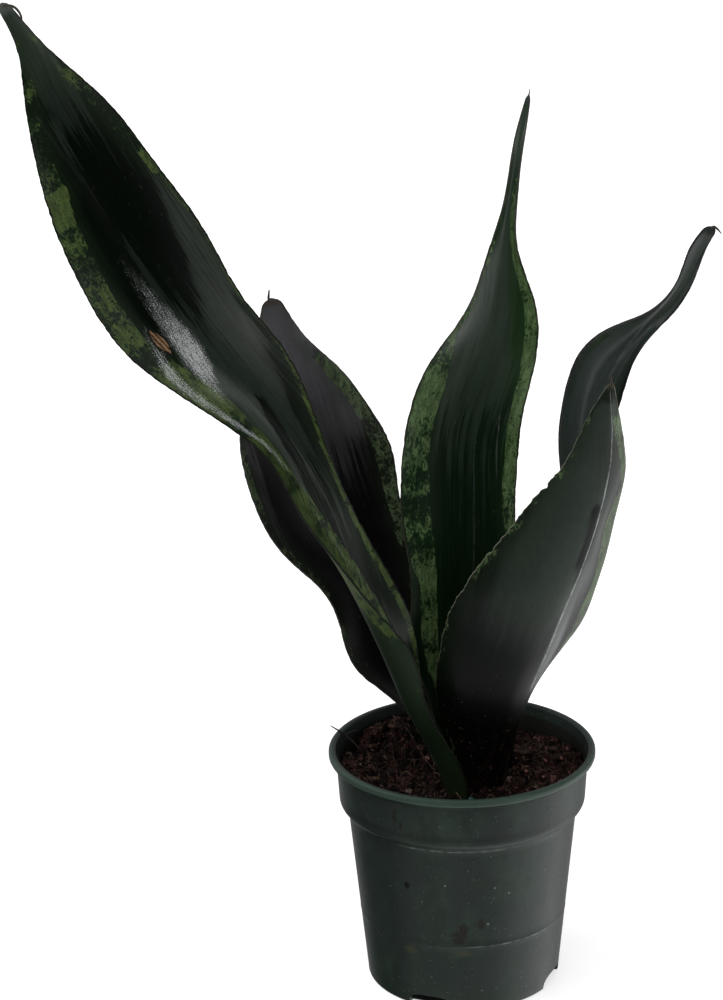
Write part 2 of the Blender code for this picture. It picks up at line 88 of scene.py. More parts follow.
# Each station of a leaf, from its end in the soil to its tip, is
# (midrib x, y, z, left half's width, its angle, right half's width, its angle).
# Each of its long folds is (share of the length and place across where it starts, the same where it
# ends, half width, rise). Each stroke of its wax with its painted sheen, of its painted pale grey
# glints, of its thin pale lines of painted highlight and of its bright patches away from the
# margins is a list of (share of the length, place across, half width, strength), and a negative
# strength wipes wax and painted sheen away.
# Each row of its band is (share of the length, then for the left and the right margin: distance of
# the band's outer edge, distance of its inner edge, how much of it is light).
# What a leaf has none of isn't listed.
LEAVES = {
    "leaf_tall_left": {
        "stations": [
            (-5, -13, 72, 8, 35, 7, -60),
            (-5, -14, 88, 9, 35, 8, -60),
            (-18, -14, 118, 13, 55, 12, -65),
            (-30, -17, 148, 18, 50, 16, -35),
            (-42, -20, 178, 16, 70, 15, -25),
            (-53, -24, 210, 18, 105, 11, -20),
            (-68, -24, 239, 19, 105, 16, 0),
            (-88, -22, 265, 19, 145, 25, 10),
            (-106, -20, 291, 28, 160, 25, 15),
            (-123, -17, 318, 27, 165, 27, 15),
            (-140, -11, 346, 21, 165, 23, 15),
            (-156, -7, 375, 9, 170, 15, 15),
            (-162.5, -5, 390, 4, 170, 7, 15),
            (-171.5, -4, 407, 2.4, 170, 2.4, 15),
        ],
        "wave_length": 62,
        "wave_phase": 3.54,
        "folds": [(0.50, -9.0, 0.92, -9.0, 4.5, 0.9)],
        "sheen": [
            [(0.214, 11.5, 2.5, 0.08), (0.281, 8.3, 2.9, 0.10), (0.373, 4.3, 3.4, 0.20),
             (0.445, 4.3, 3.8, 0.45), (0.501, 7.2, 5.5, 0.68), (0.550, 6.7, 10.9, 0.74),
             (0.595, 11.5, 13.0, 0.72), (0.650, 17.4, 8.4, 0.62), (0.706, 20.5, 5.5, 0.52),
             (0.767, 22.9, 3.8, 0.40), (0.828, 21.9, 1.7, 0.20)],
            [(0.218, -12.0, 2.1, 0.10), (0.254, -8.0, 2.5, 0.20), (0.331, -3.0, 2.9, 0.28),
             (0.391, -3.6, 2.6, 0.38), (0.450, -4.5, 3.6, 0.70), (0.503, -4.7, 5.0, 1.00),
             (0.547, -5.8, 6.7, 1.00), (0.587, -5.6, 9.2, 0.90), (0.635, -4.6, 7.6, 0.60),
             (0.685, -4.9, 5.0, 0.35), (0.743, -3.6, 2.5, 0.12)],
            [(0.780, 8.0, 3.4, 0.03), (0.849, 6.5, 6.0, 0.18), (0.893, 4.0, 8.0, 0.60),
             (0.932, 2.5, 8.0, 1.20), (0.990, 1.0, 5.7, 1.60)],
            [(0.760, -6.5, 1.5, 0.05), (0.820, -5.0, 2.2, 0.28), (0.880, -2.5, 2.6, 0.45)],
            [(0.530, 4.2, 1.2, -0.6), (0.505, 2.5, 2.0, -1.1), (0.470, 0.4, 2.6, -1.1),
             (0.430, -1.0, 2.2, -1.0), (0.387, -1.1, 1.5, -0.8), (0.326, 3.3, 0.9, -0.5)],
        ],
        "bright": [
            [(0.500, -14.0, 3.0, 0.50), (0.460, -11.5, 4.0, 0.90), (0.426, -9.5, 4.5, 1.00),
             (0.386, -7.0, 5.0, 1.05), (0.330, -1.0, 5.0, 1.00), (0.305, 2.5, 4.5, 0.95),
             (0.257, 5.0, 4.5, 0.85), (0.215, 7.0, 3.0, 0.50)],
        ],
        "silver_glint": [
            [(0.529, -9.9, 1.4, 0.15), (0.560, -8.4, 2.6, 0.50), (0.581, -7.4, 4.4, 0.95),
             (0.608, -6.6, 5.4, 1.00), (0.635, -7.1, 5.0, 0.75), (0.667, -7.8, 3.8, 0.50),
             (0.696, -8.4, 2.6, 0.30), (0.727, -8.8, 1.6, 0.12)],
            [(0.448, -9.2, 1.5, 0.45), (0.482, -11.1, 1.7, 0.75), (0.513, -13.9, 1.8, 0.90),
             (0.550, -15.2, 2.0, 0.75), (0.579, -17.2, 2.2, 0.75), (0.603, -18.4, 2.2, 0.90),
             (0.629, -17.6, 1.8, 0.60), (0.658, -16.5, 1.3, 0.20)],
        ],
        "band": [
            (0.00, 0.3, 1.5, 0.05, 0.3, 1.0, 0.10),
            (0.12, 0.3, 2.0, 0.05, 0.3, 1.5, 0.35),
            (0.20, 0.3, 2.5, 0.10, 0.3, 2.0, 0.60),
            (0.25, 0.3, 5.0, 0.55, 0.3, 2.0, 0.65),
            (0.30, 0.3, 12.0, 0.75, 0.3, 1.9, 0.75),
            (0.42, 0.3, 12.0, 0.78, 0.3, 1.8, 0.75),
            (0.50, 0.3, 11.0, 0.68, 0.3, 1.6, 0.70),
            (0.60, 0.4, 9.5, 0.62, 0.3, 1.3, 0.60),
            (0.68, 0.4, 9.5, 0.52, 0.3, 1.3, 0.60),
            (0.74, 0.4, 8.8, 0.42, 0.3, 1.8, 0.60),
            (0.774, 0.4, 8.5, 0.22, 0.3, 2.4, 0.60),
            (0.777, 0.4, 8.2, 1.15, 0.3, 4.0, 1.05),
            (0.800, 0.4, 9.4, 1.15, 0.3, 3.8, 1.05),
            (0.810, 0.4, 9.8, 1.15, 0.3, 4.5, 0.22),
            (0.816, 0.4, 8.0, 0.12, 0.3, 5.0, 0.26),
            (0.90, 0.4, 5.5, 0.26, 0.3, 6.0, 0.38),
            (0.95, 0.3, 3.5, 0.30, 0.3, 3.5, 0.40),
            (1.00, 0.2, 1.0, 0.10, 0.2, 1.0, 0.10),
        ],
    },
    "leaf_back_left": {
        "stations": [
            (-6, 12, 72, 6, 150, 6, -10),
            (-7, 12, 88, 6, 140, 7, -15),
            (-16, 18, 108, 8, 130, 10, -15),
            (-24, 24, 128, 21, 135, 15, -10),
            (-33, 31, 148, 24, 130, 19, 0),
            (-43, 38, 167, 25, 130, 25, 0),
            (-52, 44, 187, 32, 145, 29, 5),
            (-59, 51, 208, 33, 150, 31, 5),
            (-65, 55, 229, 28, 155, 25, 10),
            (-72, 60, 250, 19, 150, 13, 5),
            (-75, 62, 263, 8, 165, 7, 5),
            (-77, 64, 272, 3.5, 180, 3.5, -5),
        ],
        "wave_length": 48,
        "wave_phase": 5.14,
        "sheen": [
            [(0.543, 13.1, 6.7, 0.02), (0.629, 11.9, 10.9, 0.18), (0.704, 8.8, 15.3, 0.45),
             (0.784, 7.0, 18.3, 0.90), (0.865, 3.4, 17.9, 1.80), (0.947, 1.1, 12.9, 2.20),
             (0.992, -0.4, 5.1, 2.00)],
            [(0.482, -24.8, 4.2, 0.08), (0.550, -29.2, 5.9, 0.22), (0.608, -30.8, 6.7, 0.30),
             (0.681, -29.0, 5.0, 0.32), (0.770, -28.1, 3.4, 0.35)],
        ],
        "band": [
            (0.00, 0.3, 1.0, 0.10, 0.3, 1.0, 0.10),
            (0.30, 0.3, 2.5, 0.20, 0.3, 3.5, 0.30),
            (0.55, 0.3, 3.0, 0.40, 0.6, 5.5, 0.50),
            (0.70, 0.3, 3.0, 0.42, 0.6, 7.0, 0.60),
            (0.82, 0.3, 2.5, 0.35, 0.6, 6.5, 0.58),
            (0.92, 0.3, 1.5, 0.20, 0.4, 3.0, 0.30),
            (1.00, 0.2, 1.0, 0.00, 0.2, 1.0, 0.00),
        ],
    },
    "leaf_centre": {
        "stations": [
            (2, 6, 72, 8, 155, 7, 15),
            (2, 6, 88, 9, 155, 9, 20),
            (0, 8, 116, 14, 155, 13, 20),
            (0, 11, 143, 21, 160, 19, 20),
            (1, 15, 170, 24, 155, 23, 20),
            (1, 20, 198, 26, 160, 23, 20),
            (2, 25, 225, 26, 160, 23, 20),
            (10, 31, 251, 22, 160, 21, 25),
            (17, 38, 277, 13.5, 155, 15, 25),
            (19, 43, 304, 5.5, 140, 6, 45),
            (23, 48, 331, 3, 135, 3, 50),
            (28.5, 52, 358, 1, 180, 1, 0),
        ],
        "wave_length": 54,
        "wave_phase": 0.26,
        "sheen": [
            [(0.394, 2.6, 8.4, 0.05), (0.463, 3.9, 15.1, 0.16), (0.535, 3.0, 17.6, 0.32),
             (0.598, -0.7, 17.6, 0.55), (0.666, -5.0, 15.1, 0.85), (0.731, -3.7, 10.9, 1.00),
             (0.795, 1.2, 5.9, 1.30), (0.856, 1.1, 5.4, 1.90), (0.923, 0.7, 4.1, 2.20),
             (0.986, -0.2, 2.3, 2.00)],
            [(0.200, -4.0, 2.5, 0.10), (0.380, -3.0, 2.5, 0.16), (0.500, -3.0, 3.0, 0.20)],
        ],
        "lines": [
            [(0.200, 2.5, 0.30, 0.02), (0.353, 4.8, 0.30, 0.05), (0.463, 5.3, 0.30, 0.06),
             (0.552, 4.6, 0.30, 0.02)],
            [(0.465, 15.1, 0.30, 0.04), (0.544, 13.9, 0.35, 0.14), (0.580, 12.6, 0.30, 0.04)],
        ],
        "band": [
            (0.00, 3.0, 7.0, 0.40, 0.3, 2.0, 0.20),
            (0.15, 4.0, 10.0, 0.62, 0.3, 3.0, 0.35),
            (0.32, 4.5, 12.0, 0.78, 0.3, 4.0, 0.45),
            (0.35, 1.0, 12.0, 0.50, 0.4, 5.0, 0.55),
            (0.46, 0.5, 12.0, 0.48, 0.4, 5.5, 0.65),
            (0.50, 0.5, 12.0, 0.72, 0.4, 5.5, 0.72),
            (0.58, 0.5, 11.0, 0.74, 0.4, 5.5, 0.80),
            (0.63, 0.5, 6.0, 0.66, 0.4, 5.5, 0.85),
            (0.66, 0.4, 2.5, 0.55, 0.4, 5.5, 0.85),
            (0.75, 0.4, 1.2, 0.40, 0.4, 4.6, 0.80),
            (0.82, 0.3, 1.5, 0.30, 0.3, 3.0, 0.70),
            (0.90, 0.2, 1.0, 0.15, 0.2, 1.2, 0.25),
            (1.00, 0.2, 0.8, 0.00, 0.2, 0.8, 0.00),
        ],
    },
    "leaf_right_twisted": {
        "stations": [
            (14, 11, 72, 6, 150, 7, 45),
            (15, 11, 88, 8, 150, 8, 50),
            (18, 14, 112, 10, 135, 9, 55),
            (25, 17, 135, 14, 130, 10, 60),
            (34, 21, 158, 16, 125, 12, 60),
            (43, 25, 180, 19, 125, 12, 55),
            (49, 29, 204, 19, 120, 13, 50),
            (51, 33, 228, 19, 125, 14, 45),
            (61, 36, 250, 18, 150, 11.5, 55),
            (77, 35, 269, 6.5, 150, 5, 50),
            (90, 29, 288, 3, 165, 4, 40),
            (96, 25, 302, 4.5, 165, 2, 20),
            (100, 22, 311, 2.6, 180, 2.2, 0),
        ],
        "wave_length": 44,
        "wave_phase": 4.34,
        "sheen": [
            [(0.300, -6.0, 9.0, 0.50), (0.450, -7.5, 13.5, 0.80), (0.604, -6.4, 16.4, 1.10),
             (0.673, -4.3, 16.2, 1.20), (0.755, -2.7, 11.7, 1.10), (0.814, -1.5, 8.0, 0.95),
             (0.868, -1.2, 5.4, 0.90), (0.918, 0.1, 4.5, 0.90), (0.966, -0.4, 3.6, 0.70),
             (0.990, 0.1, 2.7, 0.50)],
        ],
        "lines": [
            [(0.660, 5.2, 0.7, 0.04), (0.749, 0.9, 0.8, 0.11), (0.798, -1.5, 0.8, 0.13),
             (0.859, -1.8, 0.7, 0.10)],
            [(0.690, 7.8, 0.5, 0.04), (0.760, 4.4, 0.6, 0.10), (0.810, 1.5, 0.6, 0.08)],
        ],
        "band": [
            (0.00, 1.0, 4.0, 0.20, 0.3, 2.0, 0.10),
            (0.40, 1.5, 5.0, 0.30, 0.3, 2.0, 0.20),
            (0.70, 1.5, 5.0, 0.38, 0.3, 2.0, 0.25),
            (0.80, 0.5, 2.0, 0.15, 0.3, 1.5, 0.10),
            (1.00, 0.2, 1.0, 0.00, 0.2, 1.0, 0.00),
        ],
    },
    "leaf_front_right": {
        "stations": [
            (13, -6, 72, 10, 165, 7, -50),
            (14, -7, 88, 13, 165, 8, -60),
            (20, -8, 107, 30, 175, 9, -85),
            (26, -12, 127, 38, 180, 12, -80),
            (34, -15, 146, 43, 180, 18, -65),
            (41, -19, 165, 41, 180, 21, -60),
            (48, -22, 184, 35, 185, 19, -60),
            (54, -24, 204, 29, 185, 13.5, -65),
            (58, -28, 224, 20, 190, 14, -60),
            (58, -31, 244, 12, 190, 6, -50),
            (58, -34, 265, 1, 180, 1, 0),
        ],
        "keel_in_front": True,
        "wave_length": 50,
        "wave_phase": 3.14,
        "sheen": [
            [(0.265, -18.0, 12.6, 0.03), (0.349, -18.3, 16.8, 0.14), (0.463, -17.9, 22.3, 0.42),
             (0.577, -14.4, 20.5, 0.70), (0.720, -12.8, 15.3, 0.65), (0.863, -7.6, 10.2, 0.50),
             (0.963, -1.2, 3.4, 0.50)],
            [(0.560, -3.9, 1.0, -0.3), (0.660, -4.6, 2.2, -0.8), (0.740, -4.6, 1.6, -0.6)],
        ],
        "lines": [
            [(0.303, -1.9, 0.7, 0.30), (0.467, -2.6, 0.5, 0.50), (0.602, -2.6, 0.35, 0.45),
             (0.725, -2.9, 0.32, 0.60), (0.784, -2.4, 0.35, 0.55), (0.839, -1.1, 0.25, 0.40),
             (0.900, -0.1, 0.22, 0.35), (0.979, -0.5, 0.20, 0.25)],
        ],
        "silver_glint": [
            [(0.299, 0.3, 1.6, 0.08), (0.354, 0.8, 3.0, 0.20), (0.423, 0.6, 3.4, 0.22),
             (0.513, -0.8, 2.6, 0.15), (0.616, -1.0, 1.4, 0.05)],
        ],
        "band": [
            (0.00, 0.3, 1.0, 0.05, 0.5, 4.0, 0.30),
            (0.20, 0.3, 1.5, 0.10, 0.5, 8.0, 0.50),
            (0.50, 0.3, 2.0, 0.25, 0.5, 12.0, 0.66),
            (0.80, 0.3, 2.5, 0.35, 0.5, 9.0, 0.70),
            (0.92, 0.3, 1.5, 0.30, 0.5, 4.0, 0.55),
            (1.00, 0.2, 0.8, 0.10, 0.2, 0.8, 0.10),
        ],
    },
}

# How each leaf departs from the common look: its heart, band and light patches, its margin line and
# how wide that is, the colour of its painted sheen, its roughness, the softness of its keel, how ragged
# its margins are and how strong its long ridges, the streaks in its wax and painted sheen, the wax
# itself, the green of its back and the grit in its painted glints are.
LEAF_LOOKS = {
    "leaf_tall_left": {
        "heart": (0.0010, 0.0028, 0.0014), "mid": (0.0140, 0.0290, 0.0125), "light": (0.056, 0.086, 0.025),
        "margin": (0.006, 0.008, 0.004), "sheen": (0.018, 0.027, 0.019), "dry": (0.090, 0.100, 0.090),
        "margin_width": 0.45, "roughness": 0.30, "keel": 0.50, "nicks": 0.25, "ridges": 0.6, "streaks": 1.4,
        "wax": 0.66, "back": 0.45, "grit": 2.4,
    },
    "leaf_back_left": {
        "heart": (0.0014, 0.0013, 0.0016), "mid": (0.0120, 0.0200, 0.0090), "light": (0.062, 0.088, 0.042),
        "margin": (0.045, 0.046, 0.038), "sheen": (0.038, 0.037, 0.041), "dry": (0.034, 0.020, 0.012),
        "margin_width": 0.35, "roughness": 0.36, "keel": 0.50, "nicks": 0.20, "ridges": 0.3, "streaks": 0.8,
        "wax": 0.8, "back": 0.0, "grit": 0.0,
    },
    "leaf_centre": {
        "heart": (0.0024, 0.0098, 0.0032), "mid": (0.0150, 0.0380, 0.0130), "light": (0.080, 0.130, 0.050),
        "margin": (0.026, 0.030, 0.016), "sheen": (0.024, 0.036, 0.026), "dry": (0.050, 0.056, 0.050),
        "margin_width": 0.35, "roughness": 0.30, "keel": 0.50, "nicks": 0.20, "ridges": 0.35, "streaks": 0.9,
        "wax": 0.7, "back": 0.5, "grit": 0.0,
    },
    "leaf_right_twisted": {
        "heart": (0.0060, 0.0088, 0.0072), "mid": (0.0120, 0.0220, 0.0110), "light": (0.024, 0.042, 0.018),
        "margin": (0.002, 0.002, 0.002), "sheen": (0.038, 0.050, 0.045), "dry": (0.020, 0.026, 0.022),
        "margin_width": 0.40, "roughness": 0.34, "keel": 0.50, "nicks": 0.15, "ridges": 0.4, "streaks": 0.6,
        "wax": 0.7, "back": 0.2, "grit": 0.0,
    },
    "leaf_front_right": {
        "heart": (0.0026, 0.0042, 0.0032), "mid": (0.0120, 0.0230, 0.0100), "light": (0.075, 0.115, 0.050),
        "margin": (0.200, 0.200, 0.140), "sheen": (0.030, 0.044, 0.033), "dry": (0.060, 0.055, 0.040),
        "margin_width": 0.32, "roughness": 0.33, "keel": 0.04, "nicks": 0.35, "ridges": 0.2, "streaks": 0.15,
        "wax": 0.34, "back": 0.5, "grit": 0.1,
    },
}

LEAF_GLOSS = 0.10                          # specular level of the skin under its wax
WAX_FRONT = 0.10                           # how strongly bare front skin shines, before its strokes of wax
WAX_BACK = 0.06
NICK_SEED = 11
NICK_POWER = 14                            # how closely the nicks keep to the margin
NICK_WAVES = (3.1, 5.3, 11.0)              # lengths of the fine unevenness of a grown margin
NICK_WAVE_DEPTH = 0.22                     # how deep each of these cuts, compared with a nick
NICK_WAVE_TURN = 6.28                      # the most that each of these is shifted, in radians
NICK_SPACING = 14
NICK_FIRST = 30                            # how near to the leaf's foot a nick may lie
NICK_LAST = 8                              # how near to its tip
NICK_REACH = (0.7, 1.8)                    # least and most
NICK_DEPTH = (0.5, 1.6)
NICK_MOST = 0.06                           # the most of a half's width that they cut together
SCAR_LEAF = "leaf_tall_left"
SCAR_ALONG = 239.5
SCAR_ACROSS = -14.5
SCAR_SLANT = 0.16
SCAR_LENGTH = 12.5
SCAR_WIDTH = 4.0
SKIN_IOR = 1.47
HIGHLIGHT_GREY = (0.52, 0.54, 0.54)                # painted highlights: glints and pale lines
FLECK_GREEN = (0.085, 0.100, 0.055)
DASH_GREY = (0.050, 0.058, 0.050)
FOOT_PAINTED_SHADE = (0.0006, 0.0006, 0.0006)      # painted shade, soil and crumbs at the front leaf's foot, and a darker olive at the tall leaf's foot
FOOT_DIRT = (0.0160, 0.0075, 0.0060)
FOOT_CRUMBS = (0.110, 0.075, 0.060)
FOOT_GREEN = (0.008, 0.010, 0.003)
SCAR_RIM = (0.004, 0.003, 0.002)
SCAR_DARK = (0.16, 0.085, 0.042)
SCAR_PALE = (0.30, 0.19, 0.11)
DRY_DARK = (0.006, 0.004, 0.003)
DRY_LIGHT = (0.050, 0.036, 0.022)

# Dried threads at the leaves' tips, as points (x, y, z, radius).
DRY_TIPS = [
    # the tall leaf's curled brown thread
    [(-170.6, -4.2, 405.8, 0.55), (-168.4, -4.6, 406.3, 0.50), (-166.2, -4.4, 405.4, 0.55),
     (-164.6, -3.8, 403.2, 0.48), (-163.8, -3.6, 400.8, 0.36), (-164.2, -4.2, 399.0, 0.20)],
    # the rear left leaf's short upright thread
    [(-77.2, 64.0, 269.5, 0.70), (-77.9, 64.0, 271.6, 0.55), (-77.7, 64.0, 273.6, 0.45),
     (-77.5, 64.0, 275.4, 0.30)],
    # the middle leaf's fine point
    [(28.3, 51.9, 356.5, 0.50), (28.7, 52.1, 358.6, 0.26), (28.9, 52.2, 360.4, 0.12)],
    # the right leaf's hooked thread
    [(99.2, 22.0, 310.2, 0.45), (99.9, 22.0, 311.3, 0.50), (101.2, 22.0, 310.4, 0.48),
     (102.4, 22.0, 309.2, 0.34), (103.2, 22.0, 308.0, 0.16)],
    # the front leaf's pale awn
    [(58.0, -34.0, 263.6, 0.50), (57.9, -34.1, 265.8, 0.34), (57.6, -34.0, 267.6, 0.16)],
]

# Pot

POT_HEIGHT = 99.8
WALL = 1.2
FLOOR = 1.4
FOOT_RADIUS = 39.5
FOOT_CORNER = 1.2
BODY_TOP_RADIUS = 46.8
BODY_TOP = 74.4
BAND_FOOT_RADIUS = 50.3
BAND_FOOT = 79.2
BAND_ROUND = 4.0
BAND_UNDERSIDE = -75.0
BAND_TOP_RADIUS = 51.3
BAND_TOP = 94.6
LIP_RADIUS = 54.4
LIP_HEIGHT = 3.2
LIP_ROUND = 1.1
LIP_UNDERSIDE = -80.0
LIP_INNER_RADIUS = 51.4
INNER_SHOULDER = 0.3
POT_SEGMENTS = 240
ARC_STEPS = 8
MOULD_LINE = 30.0          # height of the fine ridge that the mould's parting leaves
MOULD_LINE_RISE = 0.12
MOULD_LINE_WIDTH = 0.5
POT_SHEEN = 0.18           # specular level of the plastic
PLASTIC_IOR = 1.42
POT_SHARP_ANGLE = 35.0     # edges that turn by more than this stay sharp
WALL_STEP = 3.0
SLOT_COUNT = 4
SLOT_WIDTH = 19.0
SLOT_HEIGHT = 5.5
SLOT_SQUARENESS = 3.0
SLOT_FIRST_ANGLE = -20.0
SLOT_INNER_RADIUS = 34.5
SLOT_OUTER_RADIUS = 44.0
SLOT_BELOW = 1.0
SLOT_ARC_STEPS = 24

# Pale lines along ridges at the pot's front, partly wear and partly painted highlight: height, and from
# where to where across.
RIDGE_HIGHLIGHTS_AND_WEAR = [(30.0, -3.0, 38.0), (74.1, -26.0, 21.0)]

# Marks on the pot's wall: angle round the pot in degrees, height, half width, half height, kind
# (0 is a dark fleck, 1 a brown smudge, 2 a pale speck, 3 a yellowish smear).
POT_MARKS = [
    (-119.8, 56.3, 1.4, 1.7, 0),
    (-121.0, 76.8, 0.6, 0.6, 0),
    (-99.0, 58.5, 0.5, 0.5, 2),
    (-73.4, 56.8, 0.5, 0.4, 2),
    (-65.6, 53.4, 0.5, 0.5, 2),
    (-76.7, 40.4, 0.6, 0.6, 2),
    (-92.0, 35.0, 3.4, 3.6, 1),
    (-89.5, 38.5, 2.2, 3.0, 1),
    (-80.5, 40.5, 1.3, 2.8, 1),
    (-122.0, 89.0, 1.2, 4.5, 1),
    (-119.0, 85.0, 0.8, 3.0, 1),
    (-120.9, 26.2, 3.0, 1.8, 3),
    (-89.1, 27.0, 3.2, 1.5, 3),
    (72.0, 48.0, 3.5, 4.0, 1),
    (150.0, 33.0, 2.5, 3.5, 3),
]

# Soil

SOIL_LEVEL = 86.5
SOIL_REAR_RISE = 2.5
SOIL_REAR_SPREAD = 25.0
SOIL_MOUNDS = [(-26, 33, 6.5, 17), (30, 10, 3.2, 11), (16, 34, 1.5, 12), (-24, -22, 1.4, 12),
               (-46, 4, 4.6, 17), (45, 4, 4.0, 17)]
SOIL_LUMPS = [(0.45, 0.38, 0.4, 0.35), (0.45, -0.38, 1.4, 0.35), (0.31, 0.70, 0.0, 0.42)]
SOIL_GAP = 0.35
SOIL_SEGMENTS = 400
SOIL_RINGS = 84
CLUMP_SIZES = [(11.0, 4.2), (4.2, 1.5)]    # (size, rise) of the clumps, large ones first
CLUMP_CRACK = 0.30                         # share of a clump's size over which its side falls
CLUMP_WARP = 0.45                          # how far the clumps depart from straight-sided cells
WARP_FINENESS = 1.7
CLUMP_MIDDLE = 0.75                        # rise of a middling clump, as a share of its kind's
CLUMP_SPREAD = 0.6                         # how far the rise of single clumps departs from that
SOIL_SINK = 3.2                            # how far the cracks between clumps lie under the level
SOIL_SHEEN = 0.06                          # specular level of peat, fibres and bark
GRAIN_SIZE = 2.2
GRAIN_RISE = 0.9
GRAIN_FRACTAL = (0.7, 2.1, 4)              # how fast its finer parts fade, how much finer each is, parts
LITTER_MARGIN = 1.6                        # how far the litter keeps from the pot's wall
LITTER_SEGMENTS = 96
CLUMP_SEED = 7
noise.seed_set(CLUMP_SEED)                 # the warp of the clumps is drawn from this seed

# Short fibres: least and most of each size, and how their path is drawn.
FIBRE_LENGTH = (2.5, 10)
LONG_FIBRE = (8, 17)
LONG_FIBRE_EVERY = 6
FIBRE_RADIUS = (0.07, 0.19)
FIBRE_LIFT = (0.1, 1.6)
FIBRE_STEPS = 5
FIBRE_BEND = 0.6
FIBRE_TAPER = 0.1                          # share of its radius that a fibre loses at each step

# Kinds of crumb: name, how many of them compared with the common density, smallest and largest half
# width, unevenness, how long they are compared with their width, and how finely their ball is split.
CRUMBS = [
    ("peat_shreds", 2.2, 0.16, 0.42, 1.0, 3.4, 1),
    ("fine_crumbs", 0.45, 0.35, 1.1, 1.5, 1.2, 2),
    ("coarse_crumbs", 0.07, 1.0, 2.0, 3.2, 1.1, 3),
]
CRUMB_FLATNESS = 0.6
CRUMB_SIZE_POWER = 2.5                     # above 1 it makes most of them small
CRUMB_STRETCH = (0.6, 1.3)                 # least and most of a crumb's length and width, in its own size
CRUMB_TURN = ((-0.6, -0.8, 0.0), (0.6, 0.8, 6.283))  # least and most about x, y and z, in radians
CRUMB_RIPPLE = 700.0                       # how many of its dents fit in a metre

# Loose things that the photograph shows one by one: place, length, width, thickness, turn, tilt.
BARK_BITS = [
    (24.7, 9.2, 7.5, 3.6, 1.6, 20, 12),
    (-35.1, 31.1, 6.0, 3.2, 1.6, 70, -18),
    (-29.0, 27.0, 5.0, 2.8, 1.4, 120, 10),
    (-38.0, 18.0, 6.5, 2.6, 1.3, 160, 8),
    (27.5, 24.6, 5.5, 3.0, 1.6, 35, -14),
    (36.0, -10.0, 6.0, 3.4, 1.6, 100, 15),
    (14.0, -31.0, 5.0, 2.6, 1.2, 10, 6),
    (-20.0, -30.0, 6.5, 3.0, 1.5, 60, -10),
    (-36.0, -6.0, 5.5, 3.0, 1.4, 140, 12),
    (38.0, 12.0, 4.5, 2.4, 1.2, 80, 5),
    (6.0, 36.0, 6.0, 3.0, 1.4, 30, -8),
    (-12.0, 40.0, 5.0, 2.6, 1.3, 110, 9),
]
BARK_BULGE = 0.35
BARK_SQUARENESS = 0.55                     # below 1 it makes a chip's faces flatter
BARK_RIPPLE = 0.16
BARK_BULGES = 2.2                          # how many bulges, and how many ripples, fit along a chip
BARK_RIPPLES = 5
BARK_LIFT = 0.35                           # how far a chip lies out of the soil, in its thicknesses
PELLET_PLACE = (3.6, -19.3)
PELLET_RADIUS = 1.3
PELLET_LIFT = 0.8                          # how far its middle lies above the soil, in its radii
TWIG_DARK = (0.003, 0.002, 0.002)
TWIG_LIGHT = (0.015, 0.010, 0.007)
TWIGS = [
    [(-54.2, 16.6, 102.0, 0.18), (-52.4, 15.8, 101.1, 0.34), (-50.2, 14.8, 100.3, 0.34),
     (-47.8, 14.8, 98.4, 0.32), (-45.2, 14.4, 95.8, 0.28), (-41.0, 13.8, 91.5, 0.25)],
    [(-48.2, 14.8, 98.7, 0.24), (-46.6, 15.6, 98.9, 0.20), (-44.6, 16.4, 100.0, 0.18),
     (-42.4, 16.8, 99.4, 0.12)],
    [(-46.0, 14.6, 96.6, 0.24), (-44.2, 12.8, 96.2, 0.20), (-42.6, 11.0, 94.2, 0.14)],
]
STRAND = [(-30.5, 44.0), (-27.0, 36.0), (-22.0, 25.0), (-15.0, 9.0), (-8.0, -8.0), (-3.0, -18.0),
          (0.7, -25.1)]
STRAND_RADIUS = 0.2
STRAND_LIFT = 1.4

# Stage

CAMERA_PLACE = (0.0, -1191.36, 619.55)
CAMERA_RIGHT = (0.99949212, 0.02685897, -0.01714915)
CAMERA_UP = (0.0073968, 0.32791294, 0.94467899)
CAMERA_FORWARD = (-0.03099653, 0.94432606, -0.32754773)
CAMERA_LENS = 114.3
SENSOR = 36.0
CAMERA_REACH = 50000.0
FLOOR_RADIUS = 9000.0
FLOOR_SEGMENTS = 96
FLOOR_DROP = 0.2           # keeps the floor clear of the pot's underside

# The studio's soft boxes, as the plant sees them: from and to which turn (0 is the camera's side, 90
# the right), from and to which height, the softness of the edge, all in degrees, and the brightness.
SOFT_BOXES = [
    (-115, 55, 36, 66, 8, 2.0),
    (-118, -62, 2, 36, 8, 1.6),
    (25, 62, 10, 36, 8, 0.9),
    (-70, 140, -90, -48, 10, 2.2),
    (50, 130, -48, -20, 8, 3.2),
    (-70, 50, -48, -20, 8, 0.8),
    (30, 135, -20, 10, 8, 0.7),
    (-145, -118, -20, 60, 8, 0.6),
    (135, 185, -50, 10, 10, 0.6),
    (-185, -145, -50, 10, 10, 0.6),
    (140, 185, 20, 60, 10, 0.7),
    (-185, -140, 20, 60, 10, 0.7),
    (66, 125, -15, 40, 10, 0.5),
]


def maths_method(operation, reflected=False):
    """A method that adds a Math node to a value, with its terms swapped where it is reflected."""

    def method(self, *others):
        return self.maths(operation, *((*others, self) if reflected else (self, *others)))

    return method


